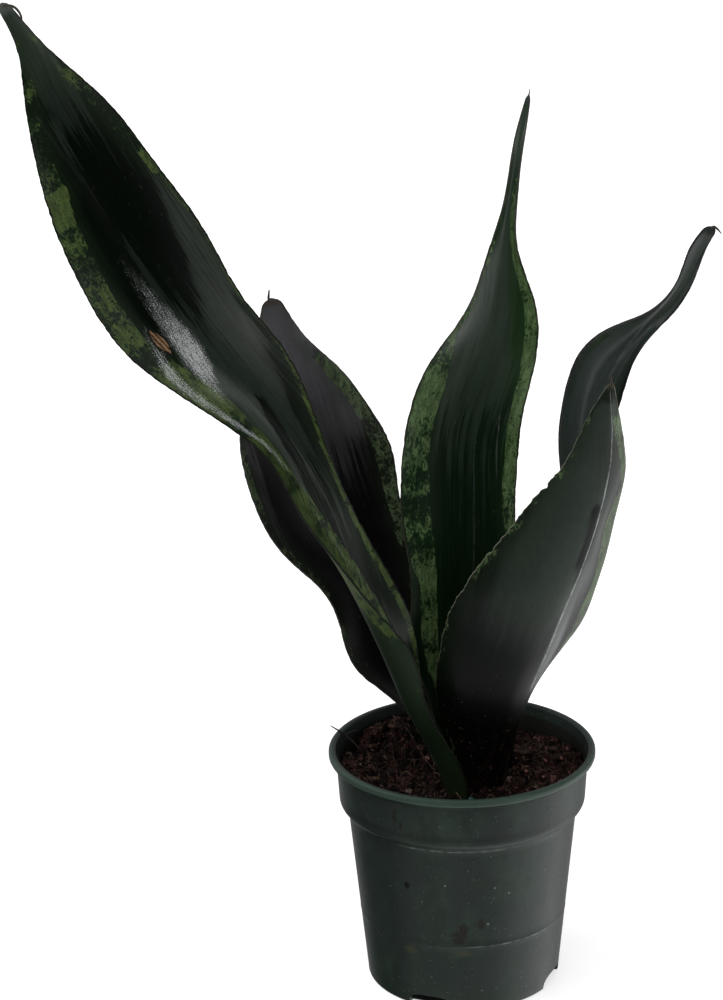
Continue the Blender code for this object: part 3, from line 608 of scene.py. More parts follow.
class Value:
    """A number that varies over a surface or a set of points: its operators add Math nodes."""

    def __init__(self, graph, socket):
        self.graph = graph
        self.socket = socket

    def maths(self, operation, *terms):
        node = self.graph.node("ShaderNodeMath", {"operation": operation}, dict(enumerate(terms)))
        return Value(self.graph, node.outputs[0])

    __add__ = maths_method("ADD")
    __radd__ = maths_method("ADD", reflected=True)
    __sub__ = maths_method("SUBTRACT")
    __rsub__ = maths_method("SUBTRACT", reflected=True)
    __mul__ = maths_method("MULTIPLY")
    __rmul__ = maths_method("MULTIPLY", reflected=True)
    __truediv__ = maths_method("DIVIDE")
    __pow__ = maths_method("POWER")
    least = maths_method("MINIMUM")
    most = maths_method("MAXIMUM")
    size = maths_method("ABSOLUTE")

    def rise(self, low, high):
        """0 below low, 1 above high and a smooth step between them."""
        node = self.graph.node(
            "ShaderNodeMapRange", {"interpolation_type": "SMOOTHSTEP"},
            {"Value": self, "From Min": low, "From Max": high, "To Min": 0.0, "To Max": 1.0})
        return Value(self.graph, node.outputs[0])


class Graph:
    """A node tree under construction."""

    def __init__(self, tree):
        self.tree = tree

    def node(self, kind, settings=None, inputs=None):
        """Adds a node: its settings first, then the values or links of its sockets."""
        node = self.tree.nodes.new(kind)
        for name, setting in (settings or {}).items():
            setattr(node, name, setting)
        for name, value in (inputs or {}).items():
            self.feed(node.inputs[name], value)
        return node

    def feed(self, socket, value):
        if isinstance(value, Value):
            value = value.socket
        if isinstance(value, bpy.types.NodeSocket):
            self.tree.links.new(value, socket)
        else:
            socket.default_value = value

    def dress(self, sockets):
        """Feeds or sets the sockets of the material's shader."""
        shader = self.tree.nodes["Principled BSDF"]
        for name, value in sockets.items():
            self.feed(shader.inputs[name], value)

    def attribute(self, name):
        node = self.node("ShaderNodeAttribute", {"attribute_name": name})
        return Value(self, node.outputs["Fac"])

    def coordinates(self, kind):
        """Coordinates of one kind, as three values."""
        source = self.node("ShaderNodeTexCoord")
        split = self.node("ShaderNodeSeparateXYZ", None, {0: source.outputs[kind]})
        return [Value(self, socket) for socket in split.outputs]

    def place(self):
        """Object coordinates in millimetres, as three values."""
        return [axis / MM for axis in self.coordinates("Object")]

    def vector(self, x, y, z):
        return self.node("ShaderNodeCombineXYZ", None, {0: x, 1: y, 2: z}).outputs[0]

    def noise(self, x, y, z, detail=2.0, roughness=0.5, distortion=0.0):
        """Noise from 0 to 1, whose lumps are about one unit of the coordinates in size."""
        node = self.node("ShaderNodeTexNoise", None, {
            "Vector": self.vector(x, y, z), "Scale": 1.0, "Detail": detail,
            "Roughness": roughness, "Distortion": distortion})
        return Value(self, node.outputs[0])

    def lumps(self, place, size, detail=2.0, roughness=0.5):
        """Noise in space whose lumps have this size, or one size along each axis."""
        sizes = size if isinstance(size, tuple) else (size, size, size)
        return self.noise(*[axis / side for axis, side in zip(place, sizes)], detail, roughness)

    def blend(self, amount, start, end):
        """A colour between start and end."""
        node = self.node("ShaderNodeMix", {"data_type": "RGBA"}, {0: amount})
        self.feed(node.inputs[6], colour(start))
        self.feed(node.inputs[7], colour(end))
        return node.outputs[2]

    def layers(self, base, *layers):
        """A base colour with layers over it, each (how much it covers, its colour)."""
        for cover, shade in layers:
            base = self.blend(cover, base, shade)
        return base

    def bump(self, height, distance):
        """A normal bent by a height, whose unit is this distance in millimetres."""
        inputs = {"Strength": 1.0, "Distance": distance * MM, "Height": height}
        return self.node("ShaderNodeBump", None, inputs).outputs[0]


def colour(value):
    """A colour for a socket: a plain triple gets its alpha, a link stays a link."""
    if isinstance(value, (bpy.types.NodeSocket, Value)):
        return value
    return (*value, 1.0)


def toned(shade, factor):
    """A lighter or darker tone of a colour."""
    return [c * factor for c in shade]


def new_material(name):
    """A material and its node graph."""
    material = bpy.data.materials.new(name)
    material.use_nodes = True
    return material, Graph(material.node_tree)


def new_object(name, data):
    """A new object in the scene."""
    piece = bpy.data.objects.new(name, data)
    bpy.context.scene.collection.objects.link(piece)
    return piece


def add_piece(name, mesh, material, slot, *nodes):
    """Puts a finished mesh in the scene, smooth and riding on the plant, with its material, and hides the
    nodes that it stands for. Its slot is not used."""
    piece = new_object(name, mesh)
    mesh.materials.clear()
    mesh.materials.append(material)
    mesh.shade_smooth()
    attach(piece, "root")
    if nodes:
        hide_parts(*nodes)


def mesh_from(name, points, faces):
    mesh = bpy.data.meshes.new(name)
    mesh.from_pydata((np.asarray(points, dtype=float) * MM).tolist(), [], faces)
    mesh.validate()
    return mesh


def built_mesh(name, build):
    """The mesh of finished bmesh work."""
    mesh = bpy.data.meshes.new(name)
    build.to_mesh(mesh)
    build.free()
    return mesh


def evaluated_mesh(name, source):
    """The plain mesh that an object's modifiers make of it."""
    depsgraph = bpy.context.evaluated_depsgraph_get()
    mesh = bpy.data.meshes.new_from_object(source.evaluated_get(depsgraph))
    mesh.name = name
    return mesh


def face_outwards(mesh):
    """Turns the faces of closed bodies outwards."""
    build = bmesh.new()
    build.from_mesh(mesh)
    bmesh.ops.recalc_face_normals(build, faces=build.faces)
    build.to_mesh(mesh)
    build.free()
    return mesh


def keep_number(mesh, name, values):
    """Keeps a number for each point of a mesh, which its material reads."""
    values = np.asarray(values, dtype=np.float32)
    mesh.attributes.new(name, "FLOAT", "POINT").data.foreach_set("value", values)


# Leaf shape


def spline(knots, values, at):
    """Natural cubic spline through the values at the knots, read at other places."""
    knots = np.asarray(knots, dtype=float)
    values = np.asarray(values, dtype=float)
    count = len(knots)
    step = np.diff(knots)
    slope = np.diff(values, axis=0) / step[:, None]
    system = np.eye(count)
    right = np.zeros_like(values)
    for i in range(1, count - 1):
        system[i, i - 1] = step[i - 1]
        system[i, i] = 2 * (step[i - 1] + step[i])
        system[i, i + 1] = step[i]
        right[i] = 3 * (slope[i] - slope[i - 1])
    bend = np.linalg.solve(system, right)
    i = np.clip(np.searchsorted(knots, at, side="right") - 1, 0, count - 2)
    away = (at - knots[i])[:, None]
    width = step[i][:, None]
    first = slope[i] - width * (2 * bend[i] + bend[i + 1]) / 3
    third = (bend[i + 1] - bend[i]) / (3 * width)
    return values[i] + away * first + away ** 2 * bend[i] + away ** 3 * third


def unit(vectors):
    return vectors / np.linalg.norm(vectors, axis=-1, keepdims=True)


def midrib_steps(stations):
    """Lengths of the straight steps between a leaf's stations."""
    return np.linalg.norm(np.diff(np.asarray(stations, dtype=float)[:, :3], axis=0), axis=1)


def leaf_frame(stations, distance):
    """Midrib points, both half-blade directions and their widths at distances along the midrib."""
    table = np.asarray(stations, dtype=float)
    along = np.concatenate([[0.0], np.cumsum(midrib_steps(stations))])
    values = spline(along, table, distance)
    ahead = spline(along, table[:, :3], np.minimum(distance + TANGENT_REACH, along[-1]))
    behind = spline(along, table[:, :3], np.maximum(distance - TANGENT_REACH, 0.0))
    forward = unit(ahead - behind)
    right = unit(np.cross((0.0, 1.0, 0.0), forward))
    front = np.cross(right, forward)
    halves = []
    for width_column, angle_column in ((3, 4), (5, 6)):
        angle = np.radians(values[:, angle_column])[:, None]
        width = np.maximum(values[:, width_column], MIN_HALF_WIDTH)[:, None]
        halves.append((np.cos(angle) * right + np.sin(angle) * front, width))
    return values[:, :3], halves


def nicks(width, distance, depth, seed):
    """How far the small nicks and the fine unevenness of a grown margin cut into a half's width."""
    draw = random.Random(seed)
    cut = np.zeros_like(distance)
    for wave in NICK_WAVES:
        phase = draw.uniform(0, NICK_WAVE_TURN)
        cut += depth * NICK_WAVE_DEPTH * (1 + np.sin(2 * math.pi * distance / wave + phase))
    for _ in range(int(distance[-1] / NICK_SPACING)):
        centre = draw.uniform(NICK_FIRST, distance[-1] - NICK_LAST)
        reach = draw.uniform(*NICK_REACH)
        cut += depth * draw.uniform(*NICK_DEPTH) * np.exp(-((distance - centre) / reach) ** 2)
    return np.minimum(cut[:, None], NICK_MOST * width)


def smooth(share):
    """A smooth step from 0 to 1."""
    return share ** 2 * (3 - 2 * share)


def stroke_course(stroke, part):
    """A stroke's place across, half width and strength along the leaf, and where it runs at all."""
    table = np.asarray(sorted(stroke))
    centre, half, strength = [np.interp(part, table[:, 0], table[:, i])[:, None] for i in (1, 2, 3)]
    within = np.clip(np.minimum(part - table[0, 0], table[-1, 0] - part) / STROKE_END + 0.5, 0, 1)
    return centre, half, strength, within[:, None]


def stroked(strokes, part, across):
    """How strongly the strokes of a leaf's wax cover each of its points."""
    cover = np.zeros_like(across)
    for stroke in strokes:
        centre, half, strength, within = stroke_course(stroke, part)
        away = (np.abs(across - centre) / half - STROKE_CORE) / (STROKE_REACH - STROKE_CORE)
        here = within * strength * (1 - smooth(np.clip(away, 0, 1)))
        cover = np.where(strength < 0, np.maximum(cover + here, 0), np.maximum(cover, here))
    return cover


def half_columns(width):
    """Where the columns of a half-blade lie: shares of its width, distances from its margin, and how
    far that margin is rounded."""
    rounding = np.minimum(MARGIN_ROUND, MARGIN_ROUND_SHARE * width)
    inner = np.asarray(COLUMN_SHARES)[None, :] / COLUMN_SHARES[-1] * COLUMN_END * (1 - rounding / width)
    margin = 1 - np.asarray(MARGIN_STEPS)[None, :] * rounding / width
    share = np.concatenate([inner, margin], axis=1)
    return share, (1 - share) * width, rounding


def leaf_wave(leaf, distance, part, share, across):
    """How far a leaf's waved margins and its long folds stand out to its front."""
    rising = np.clip((part - WAVE_START) / WAVE_GROWTH, 0, 1)
    dying = np.clip((1 - part) / WAVE_DECAY, 0, 1)
    phase = 2 * math.pi * distance / leaf["wave_length"] + leaf["wave_phase"]
    height = MARGIN_WAVE * rising * dying * np.sin(phase)
    wave = height[:, None] * np.sign(share) * np.abs(share) ** WAVE_POWER
    for start, start_across, stop, stop_across, reach, rise in leaf.get("folds", []):
        centre = np.interp(part, [start, stop], [start_across, stop_across])[:, None]
        strength = np.clip((part - start) / FOLD_FADE, 0, 1) * np.clip((stop - part) / FOLD_FADE, 0, 1)
        wave = wave + rise * smooth(strength)[:, None] * np.exp(-((across - centre) / reach) ** 2)
    return wave


def leaf_thickness(look, part, share, edge, rounding):
    """A blade's thickness at its points: full at the midrib, thin at its rounded margins."""
    turns = [0.0, BLADE_START, BLADE_END, 1.0]
    body = [BASE_THICKNESS, BLADE_THICKNESS, BLADE_THICKNESS, TIP_THICKNESS]
    extra = np.interp(part, turns, body)[:, None] - MARGIN_THICKNESS
    keel = np.sqrt(share ** 2 + look["keel"] ** 2) - look["keel"] * (1 - np.abs(share))
    thickness = MARGIN_THICKNESS + extra * (1 - np.clip(keel, 0, 1)) ** SECTION_POWER
    rounded = 1 - (1 - np.clip(edge / rounding, 0, 1)) ** 2
    return thickness * np.sqrt(np.maximum(rounded, 0))


def leaf_facts(leaf, distance, part, share, across, edge):
    """What a leaf's finish needs to know at each of its points."""
    band = np.asarray(leaf["band"])
    stripe = np.zeros_like(share)
    light = np.zeros_like(share)
    for side, first in ((share < 0, 1), (share >= 0, 4)):
        outer, inner, amount = [
            np.interp(part, band[:, 0], band[:, first + i])[:, None] for i in range(3)]
        stripe = np.where(side, np.minimum(edge - outer, inner - edge), stripe)
        light = np.where(side, amount, light)
    facts = {
        "along": np.broadcast_to(distance[:, None], share.shape),
        "across": across,
        "edge": edge,
        "stripe": stripe,
        "light": light,
        "part": np.broadcast_to(part[:, None], share.shape),
    }
    for kind in ("sheen", "silver_glint", "bright"):
        facts[kind] = stroked(leaf.get(kind, []), part, across)
    for number, line in enumerate(leaf.get("lines", [])):
        centre, half, strength, within = stroke_course(line, part)
        facts["line%d" % number] = (across - centre) / half
        facts["glow%d" % number] = np.broadcast_to(within * strength, share.shape)
    return facts


def leaf_grid(name, row_step):
    """The front and back skins of a leaf, with what its finish needs to know at each point."""
    leaf = LEAVES[name]
    look = LEAF_LOOKS[name]
    length = float(midrib_steps(leaf["stations"]).sum())
    distance = np.linspace(0.0, length, int(length / row_step) + 1)
    part = distance / length
    midrib, ((to_left, left), (to_right, right)) = leaf_frame(leaf["stations"], distance)
    closing = np.clip((length - distance) / TIP_REACH, 0, 1)
    closing = np.sqrt(np.maximum(1 - (1 - closing) ** 2, TIP_LEAST))[:, None]
    left = left * closing
    right = right * closing
    seed = NICK_SEED + 2 * list(LEAVES).index(name)
    left_cut = nicks(left, distance, look["nicks"], seed)
    right_cut = nicks(right, distance, look["nicks"], seed + 1)

    left_share, left_edge, left_rounding = half_columns(left)
    right_share, right_edge, right_rounding = half_columns(right)
    share = np.concatenate([-left_share[:, :0:-1], right_share], axis=1)
    edge = np.concatenate([left_edge[:, :0:-1], right_edge], axis=1)
    on_left = np.arange(share.shape[1])[None, :] < share.shape[1] // 2
    rounding = np.where(on_left, left_rounding, right_rounding)
    nicked = np.abs(share) ** NICK_POWER
    across = share * np.where(share < 0, left - left_cut * nicked, right - right_cut * nicked)

    slope = ((to_right * left - to_left * right) / (left + right))[:, None, :]
    bend = ((to_right + to_left) / (left + right))[:, None, :]
    middle = midrib[:, None, :] + across[:, :, None] * slope + (across ** 2)[:, :, None] * bend
    sideways = slope + 2 * across[:, :, None] * bend
    to_front = unit(np.cross(sideways, np.gradient(middle, axis=0)))
    middle = middle + leaf_wave(leaf, distance, part, share, across)[:, :, None] * to_front
    thickness = leaf_thickness(look, part, share, edge, rounding) * closing
    front_share = BACK_SHARE if leaf.get("keel_in_front") else 1 - BACK_SHARE
    front = middle + (thickness * front_share)[:, :, None] * to_front
    back = middle - (thickness * (1 - front_share))[:, :, None] * to_front
    return front, back, leaf_facts(leaf, distance, part, share, across, edge)


def leaf_mesh(name, row_step):
    """A closed leaf: both skins meet in rounded margins, and its two ends are capped."""
    front, back, facts = leaf_grid(name, row_step)
    rows, columns, _ = front.shape
    inner = columns - 2
    offset = rows * columns
    f = np.arange(offset).reshape(rows, columns)
    b = f.copy()
    b[:, 1:-1] = offset + np.arange(rows * inner).reshape(rows, inner)
    points = np.concatenate([front.reshape(-1, 3), back[:, 1:-1].reshape(-1, 3)])

    def quads(*corners):
        return np.stack([corner.ravel() for corner in corners], axis=1).tolist()

    faces = quads(f[:-1, :-1], f[1:, :-1], f[1:, 1:], f[:-1, 1:])
    faces += quads(b[:-1, :-1], b[:-1, 1:], b[1:, 1:], b[1:, :-1])
    for row in (0, rows - 1):
        faces += quads(f[row, 1:-2], f[row, 2:-1], b[row, 2:-1], b[row, 1:-2])
        faces.append((int(f[row, 0]), int(f[row, 1]), int(b[row, 1])))
        faces.append((int(f[row, -2]), int(f[row, -1]), int(b[row, -2])))
    mesh = face_outwards(mesh_from(name, points, faces))
    for key, grid in facts.items():
        keep_number(mesh, key, np.concatenate([grid.reshape(-1), grid[:, 1:-1].reshape(-1)]))
    keep_number(mesh, "skin", np.concatenate([np.zeros(offset), np.ones(rows * inner)]))
    return mesh


def scar(along, across, speck):
    """How much the scar's dark rim, its scab and the slits in the scab cover the skin."""
    shape_along = (along - SCAR_ALONG) / (SCAR_LENGTH / 2)
    shape_across = (across - SCAR_ACROSS + (along - SCAR_ALONG) * SCAR_SLANT) / (SCAR_WIDTH / 2)
    reach = shape_along * shape_along + shape_across.size() + (speck - 0.5) * 0.3
    slits = 1.0 - (((shape_across + (speck - 0.5) * 0.5).size() - 0.38).size()).rise(0.06, 0.22)
    return 1.0 - reach.rise(1.05, 1.45), 1.0 - reach.rise(0.75, 1.0), slits


def leaf_material(name, settings):
    """A waxy leaf: dark heart, mottled bands along the margins, a thin margin line and long ridges."""
    look = LEAF_LOOKS[name]
    seed = 7.3 * list(LEAVES).index(name)
    material, graph = new_material(name + "_skin")
    along, across, edge, stripe, light, part = [
        graph.attribute(key) for key in ("along", "across", "edge", "stripe", "light", "part")]
    front_only = 1.0 - graph.attribute("skin").rise(0.4, 0.6)
    sheen, silver_glint, bright = [graph.attribute(key) * front_only for key in ("sheen", "silver_glint", "bright")]
    bare = 1.0 - front_only

    def pattern(wide, long, salt, detail=2.0, roughness=0.5, distortion=0.0):
        """Noise that runs along the blade, with lumps so wide and so long."""
        return graph.noise(across / wide, along / long, seed + salt, detail, roughness, distortion)

    block = pattern(60.0, 10.0, 0, 0.0)
    blotch = pattern(2.6, 4.0, 1, 3.0, 0.62, 0.4)
    speck = pattern(0.75, 1.4, 2, 1.5)
    streak = pattern(0.9, 26.0, 3)
    grain = pattern(0.34, 0.60, 7, 2.0, 0.7)
    hair = pattern(0.30, 5.0, 8, 1.0)

    # The band's patches, their darker ground and the soft green beside them
    inside = (stripe + (streak - 0.5) * 2.2 + (speck - 0.5) * 0.8).rise(-0.15, 0.25)
    inside = inside.most((bright + (streak - 0.5) * 0.8).rise(0.35, 0.50))
    mottle = light.least(1.2 - bright * 0.5).most(bright * 0.68)
    mottle = mottle + (block - 0.5) * 1.2 + (blotch - 0.5) * 1.5 + (speck - 0.5) * 1.3
    pits = pattern(0.40, 0.90, 9, 1.0).rise(0.56, 0.68)
    pitted = (1.0 - speck.rise(0.56, 0.70) * 0.70) * (1.0 - pits * 0.45)
    patches = mottle.rise(0.49, 0.60) * inside * pitted
    greens = mottle.rise(0.27, 0.42) * inside
    halo = (stripe + (streak - 0.5) * 5.0).rise(-7.0, 1.0)
    if name == "leaf_centre":
        strip = across.rise(1.0, 3.0) * (stripe + (streak - 0.5) * 2.0).rise(-7.5, -5.5)
        halo = (halo * 0.6).most(strip * part.rise(0.55, 0.66) * 2.2)
    tones = pattern(1.6, 6.0, 10, 2.0, 0.6).rise(0.35, 0.65)
    scores = pattern(1.1, 6.5, 12, 3.0, 0.65).rise(0.51, 0.57)
    flecks = (speck + (streak - 0.5) * 0.6).rise(0.74, 0.80) * 0.45
    dashes = pattern(0.45, 3.2, 4, 0.0).rise(0.80, 0.84)

    # The wax with its painted sheen, and the painted glints
    ragged = (pattern(2.4, 45.0, 11, 4.0, 0.62) - 0.5) * 1.4 + (streak - 0.5) * 0.5
    strokes = (sheen + ragged * look["streaks"]).rise(0.14, 0.60 - look["streaks"] * 0.14)
    painted_sheen_cover = (sheen * 0.8 + 0.2) * ((blotch - 0.5) * 0.4 + 1.0) * strokes
    painted_sheen_cover = painted_sheen_cover * ((streak - 0.5) * look["streaks"] + 1.0)
    # painted glints: pale grey specks and streaks of highlight on the skin
    if look["grit"] > 1:
        glint_cover = silver_glint * 0.80 + (grain - 0.5) * look["grit"] + (hair - 0.5) * 1.2
        glint_cover = (glint_cover - 0.36).rise(0.0, 0.7) * silver_glint.rise(0.02, 0.30)
    else:
        glint_cover = silver_glint * ((hair - 0.5) * 0.4 + 1.0)

    skin = graph.layers(
        graph.blend(streak.rise(0.35, 0.75), look["heart"], toned(look["heart"], 1.5)),
        # painted sheen: the skin's colour drawn towards a pale sheen where the wax reflects
        (painted_sheen_cover * 0.5, toned(look["sheen"], 2.0)),
        ((halo * 0.35 + bare * look["back"]).least(1.0), look["mid"]),
        (greens * 0.9, look["mid"]),
        (patches, graph.blend(tones, toned(look["light"], 0.72), toned(look["light"], 1.35))),
        (scores * bright.rise(0.3, 0.7) * 0.85, toned(look["mid"], 0.45)),
        (flecks * inside, FLECK_GREEN),
        (dashes * 0.5 * (1.0 - inside), DASH_GREY),
        (glint_cover, HIGHLIGHT_GREY))
    # thin pale lines of painted highlight along the keels and ridges
    for number in range(len(LEAVES[name].get("lines", []))):
        line = 1.0 - graph.attribute("line%d" % number).size().rise(0.3, 1.4)
        line = line * graph.attribute("glow%d" % number) * front_only * blotch.rise(0.25, 0.60)
        skin = graph.blend(line, skin, HIGHLIGHT_GREY)
    margin_width = look["margin_width"]
    margin = 1.0 - (edge + (speck - 0.5) * 0.3).rise(margin_width * 0.5, margin_width * 1.3)
    dry = (part + (blotch - 0.5) * 0.01).rise(0.982, 0.996)
    skin = graph.layers(skin, (margin, look["margin"]), (dry, look["dry"]))

    # What one leaf alone has: a scorched margin, painted shade with soil and dirt at its foot, or a scar and
    # a darker olive foot
    ridges = pattern(0.85, 60.0, 5, 1.0) * 0.25 + pattern(3.2, 80.0, 6, 1.0) * 0.8
    height = ridges * look["ridges"] + grain * 0.08
    foot = 1.0 - part
    if name == "leaf_back_left":
        scorch = part.rise(0.93, 0.97) * (1.0 - (edge + (speck - 0.5) * 2.0).rise(0.5, 1.5))
        skin = graph.blend(scorch, skin, look["dry"])
    if name == "leaf_front_right":
        # painted shade: the front leaf drawn near black towards its foot
        shade = (foot + (streak - 0.5) * 0.10 + (blotch - 0.5) * 0.06).rise(0.66, 0.84)
        dirt = foot.rise(0.72, 0.90) * (blotch + (speck - 0.5) * 0.8).rise(0.50, 0.66)
        crumbs = foot.rise(0.70, 0.80) * (speck + (blotch - 0.5) * 0.6).rise(0.70, 0.76)
        skin = graph.layers(skin, (shade * 0.85, FOOT_PAINTED_SHADE), (dirt * 0.8, FOOT_DIRT),
                            (crumbs * 0.7, FOOT_CRUMBS))
    if name == SCAR_LEAF:
        rim, scab, slits = scar(along, across, speck)
        rim = rim * front_only
        scab = scab * front_only
        skin = graph.layers(
            skin, (foot.rise(0.90, 0.97) * 0.6, FOOT_GREEN), (rim, SCAR_RIM),
            (scab * (1.0 - slits * 0.9), graph.blend(hair, SCAR_DARK, SCAR_PALE)))
        height = height + scab * 0.8 - rim * 0.8 - scab * slits * 0.5
        dry = dry.most(rim)

    rough = look["roughness"] * settings.gloss
    rough_field = (grain - 0.5) * 0.10 + rough + patches * 0.05 + dry * 0.35 + bare * look["back"] * 0.6
    wax = painted_sheen_cover * look["wax"] * (1.0 - patches * 0.6) + front_only * WAX_FRONT + bare * WAX_BACK
    graph.dress({
        "Base Color": skin, "Roughness": rough_field,
        "Normal": graph.bump(height, settings.ridge_height / MM), "IOR": SKIN_IOR,
        "Specular IOR Level": LEAF_GLOSS, "Coat Weight": wax.least(1.0), "Coat Roughness": rough})
    return material


# Threads that follow a path: dry tips, the twig, the pale strand and the soil's fibres


def new_tree(name, inputs):
    """A node group for a modifier, its graph and what it is given, by name. Each input is
    (name, kind, default)."""
    tree = bpy.data.node_groups.new(name, "GeometryNodeTree")
    tree.is_modifier = True
    for label, kind, default in inputs:
        socket = tree.interface.new_socket(label, in_out="INPUT", socket_type="NodeSocket" + kind)
        if default is not None:
            socket.default_value = default
    tree.interface.new_socket("Result", in_out="OUTPUT", socket_type="NodeSocketGeometry")
    graph = Graph(tree)
    return tree, graph, graph.node("NodeGroupInput").outputs


def give_out(graph, shapes, finish):
    """Ends a node group: its shapes get their material and leave it."""
    finished = graph.node("GeometryNodeSetMaterial", None, {"Geometry": shapes, "Material": finish})
    graph.node("NodeGroupOutput", None, {0: finished.outputs[0]})


def thread_tree():
    """A node group that gives curves a round section, thick where the curve's own radius is."""
    tree, graph, given = new_tree("threads", [
        ("Paths", "Geometry", None), ("Sides", "Int", 6), ("Step", "Float", 0.001),
        ("Finish", "Material", None)])
    fine = graph.node("GeometryNodeResampleCurve", {"mode": "LENGTH"},
                      {"Curve": given["Paths"], "Length": given["Step"]})
    profile = graph.node("GeometryNodeCurvePrimitiveCircle", None,
                         {"Resolution": given["Sides"], "Radius": 1.0})
    radius = graph.node("GeometryNodeInputRadius")
    tube = graph.node("GeometryNodeCurveToMesh", None, {
        "Curve": fine.outputs[0], "Profile Curve": profile.outputs[0],
        "Scale": radius.outputs[0], "Fill Caps": True})
    real = graph.node("GeometryNodeRealizeInstances", None, {0: tube.outputs[0]})
    give_out(graph, real.outputs[0], given["Finish"])
    return tree


def run_tree(name, data, tree, values):
    """Runs a node group on an object of its own and returns the result as a plain mesh."""
    source = new_object(name + "_source", data)
    modifier = source.modifiers.new("nodes", "NODES")
    modifier.node_group = tree
    names = {item.name: item.identifier for item in tree.interface.items_tree if item.in_out == "INPUT"}
    for key, value in values.items():
        modifier[names[key]] = value
    mesh = evaluated_mesh(name, source)
    source.modifiers.remove(modifier)
    bpy.data.objects.remove(source, do_unlink=True)
    return mesh


def add_threads(name, paths, material, slot, sides, step):
    """Adds one piece of threads, each path a list of (x, y, z, radius) in millimetres."""
    curve = bpy.data.curves.new(name, "CURVE")
    curve.dimensions = "3D"
    for path in paths:
        line = curve.splines.new("NURBS")
        line.points.add(len(path) - 1)
        line.order_u = 3
        line.use_endpoint_u = True
        line.resolution_u = 6
        for point, (x, y, z, radius) in zip(line.points, path):
            point.co = (x * MM, y * MM, z * MM, 1.0)
            point.radius = radius * MM
    mesh = run_tree(name, curve, thread_tree(), {"Sides": sides, "Step": step * MM, "Finish": material})
    add_piece(name, face_outwards(mesh), material, slot)


def dry_material():
    """Dead brown tissue."""
    material, graph = new_material("dried_tip")
    grain = graph.lumps(graph.place(), 1.2)
    graph.dress({
        "Base Color": graph.blend(grain, DRY_DARK, DRY_LIGHT), "Roughness": grain * 0.2 + 0.55,
        "Normal": graph.bump(grain, 0.1)})
    return material


# Pot


def arc(centre_r, centre_z, radius, start, end, steps=ARC_STEPS):
    """Points (r, z) on an arc, from the start angle to the end angle in degrees."""
    angles = np.radians(np.linspace(start, end, steps + 1))
    return [(centre_r + radius * math.cos(a), centre_z + radius * math.sin(a)) for a in angles]


def body_lean():
    """How far the pot's body leans outwards, in degrees."""
    return math.degrees(math.atan2(BODY_TOP_RADIUS - FOOT_RADIUS, BODY_TOP - FOOT_CORNER))


def stretch(start, end):
    """Points between two points of the profile, one every few millimetres."""
    count = max(1, round(math.dist(start, end) / WALL_STEP))
    shares = [i / count for i in range(1, count)]
    return [(start[0] + s * (end[0] - start[0]), start[1] + s * (end[1] - start[1])) for s in shares]


def pot_outside():
    """The pot's outside from the underside's rim up to the lip's inner edge, as (r, z)."""
    foot_centre = FOOT_RADIUS - FOOT_CORNER
    band_centre = BAND_FOOT_RADIUS - BAND_ROUND
    lip_outer = LIP_RADIUS - LIP_ROUND
    lip_inner = LIP_INNER_RADIUS + LIP_ROUND
    lip_top = POT_HEIGHT - LIP_ROUND
    lip_foot = POT_HEIGHT - LIP_HEIGHT + LIP_ROUND
    outside = arc(foot_centre, FOOT_CORNER, FOOT_CORNER, -90, -body_lean())
    lean = math.tan(math.radians(body_lean()))
    start = outside[-1]
    for height in (MOULD_LINE - MOULD_LINE_WIDTH, MOULD_LINE, MOULD_LINE + MOULD_LINE_WIDTH):
        rise = MOULD_LINE_RISE if height == MOULD_LINE else 0.0
        point = (start[0] + (height - start[1]) * lean + rise, height)
        outside += stretch(outside[-1], point) + [point]
    outside += stretch(outside[-1], (BODY_TOP_RADIUS, BODY_TOP)) + [(BODY_TOP_RADIUS, BODY_TOP)]
    outside += arc(band_centre, BAND_FOOT, BAND_ROUND, BAND_UNDERSIDE, 0)
    outside += stretch(outside[-1], (BAND_TOP_RADIUS, BAND_TOP)) + [(BAND_TOP_RADIUS, BAND_TOP)]
    outside += arc(lip_outer, lip_foot, LIP_ROUND, LIP_UNDERSIDE, 0)
    outside += arc(lip_outer, lip_top, LIP_ROUND, 0, 90)
    outside += arc(lip_inner, lip_top, LIP_ROUND, 90, 180)
    return outside


def pot_inside():
    """The pot's inside from under the lip down to the floor's edge, as (r, z)."""
    band_centre = BAND_FOOT_RADIUS - BAND_ROUND
    foot_centre = FOOT_RADIUS - FOOT_CORNER - WALL
    inside = [(BAND_TOP_RADIUS - WALL, BAND_TOP)]
    inside += arc(band_centre, BAND_FOOT, BAND_ROUND - WALL, 0, BAND_UNDERSIDE)
    inside += [(BODY_TOP_RADIUS - WALL, BODY_TOP + INNER_SHOULDER)]
    inside += arc(foot_centre, FLOOR + FOOT_CORNER, FOOT_CORNER, -body_lean(), -90)
    return inside


def spun(profile, segments):
    """Rings of points about the pot's axis, one ring for each (r, z) of a profile."""
    angles = np.linspace(0, 2 * math.pi, segments, endpoint=False)
    return [(r * math.cos(a), r * math.sin(a), z) for r, z in profile for a in angles]


def ring_faces(ring_count, segments):
    faces = []
    for ring in range(ring_count - 1):
        for i in range(segments):
            a = ring * segments + i
            b = ring * segments + (i + 1) % segments
            faces.append((a, b, b + segments, a + segments))
    return faces


def closed_rings(name, rings, segments, poles):
    """A closed mesh from rings of points, the first and the last of which close at two poles."""
    faces = ring_faces(len(rings) // segments, segments)
    last = len(rings) - segments
    for i in range(segments):
        j = (i + 1) % segments
        faces.append((j, i, len(rings)))
        faces.append((last + i, last + j, len(rings) + 1))
    return face_outwards(mesh_from(name, rings + poles, faces))


def pot_body():
    """The pot before its slots are cut."""
    rings = spun(pot_outside() + pot_inside(), POT_SEGMENTS)
    return closed_rings("pot_body", rings, POT_SEGMENTS, [(0.0, 0.0, 0.0), (0.0, 0.0, FLOOR)])


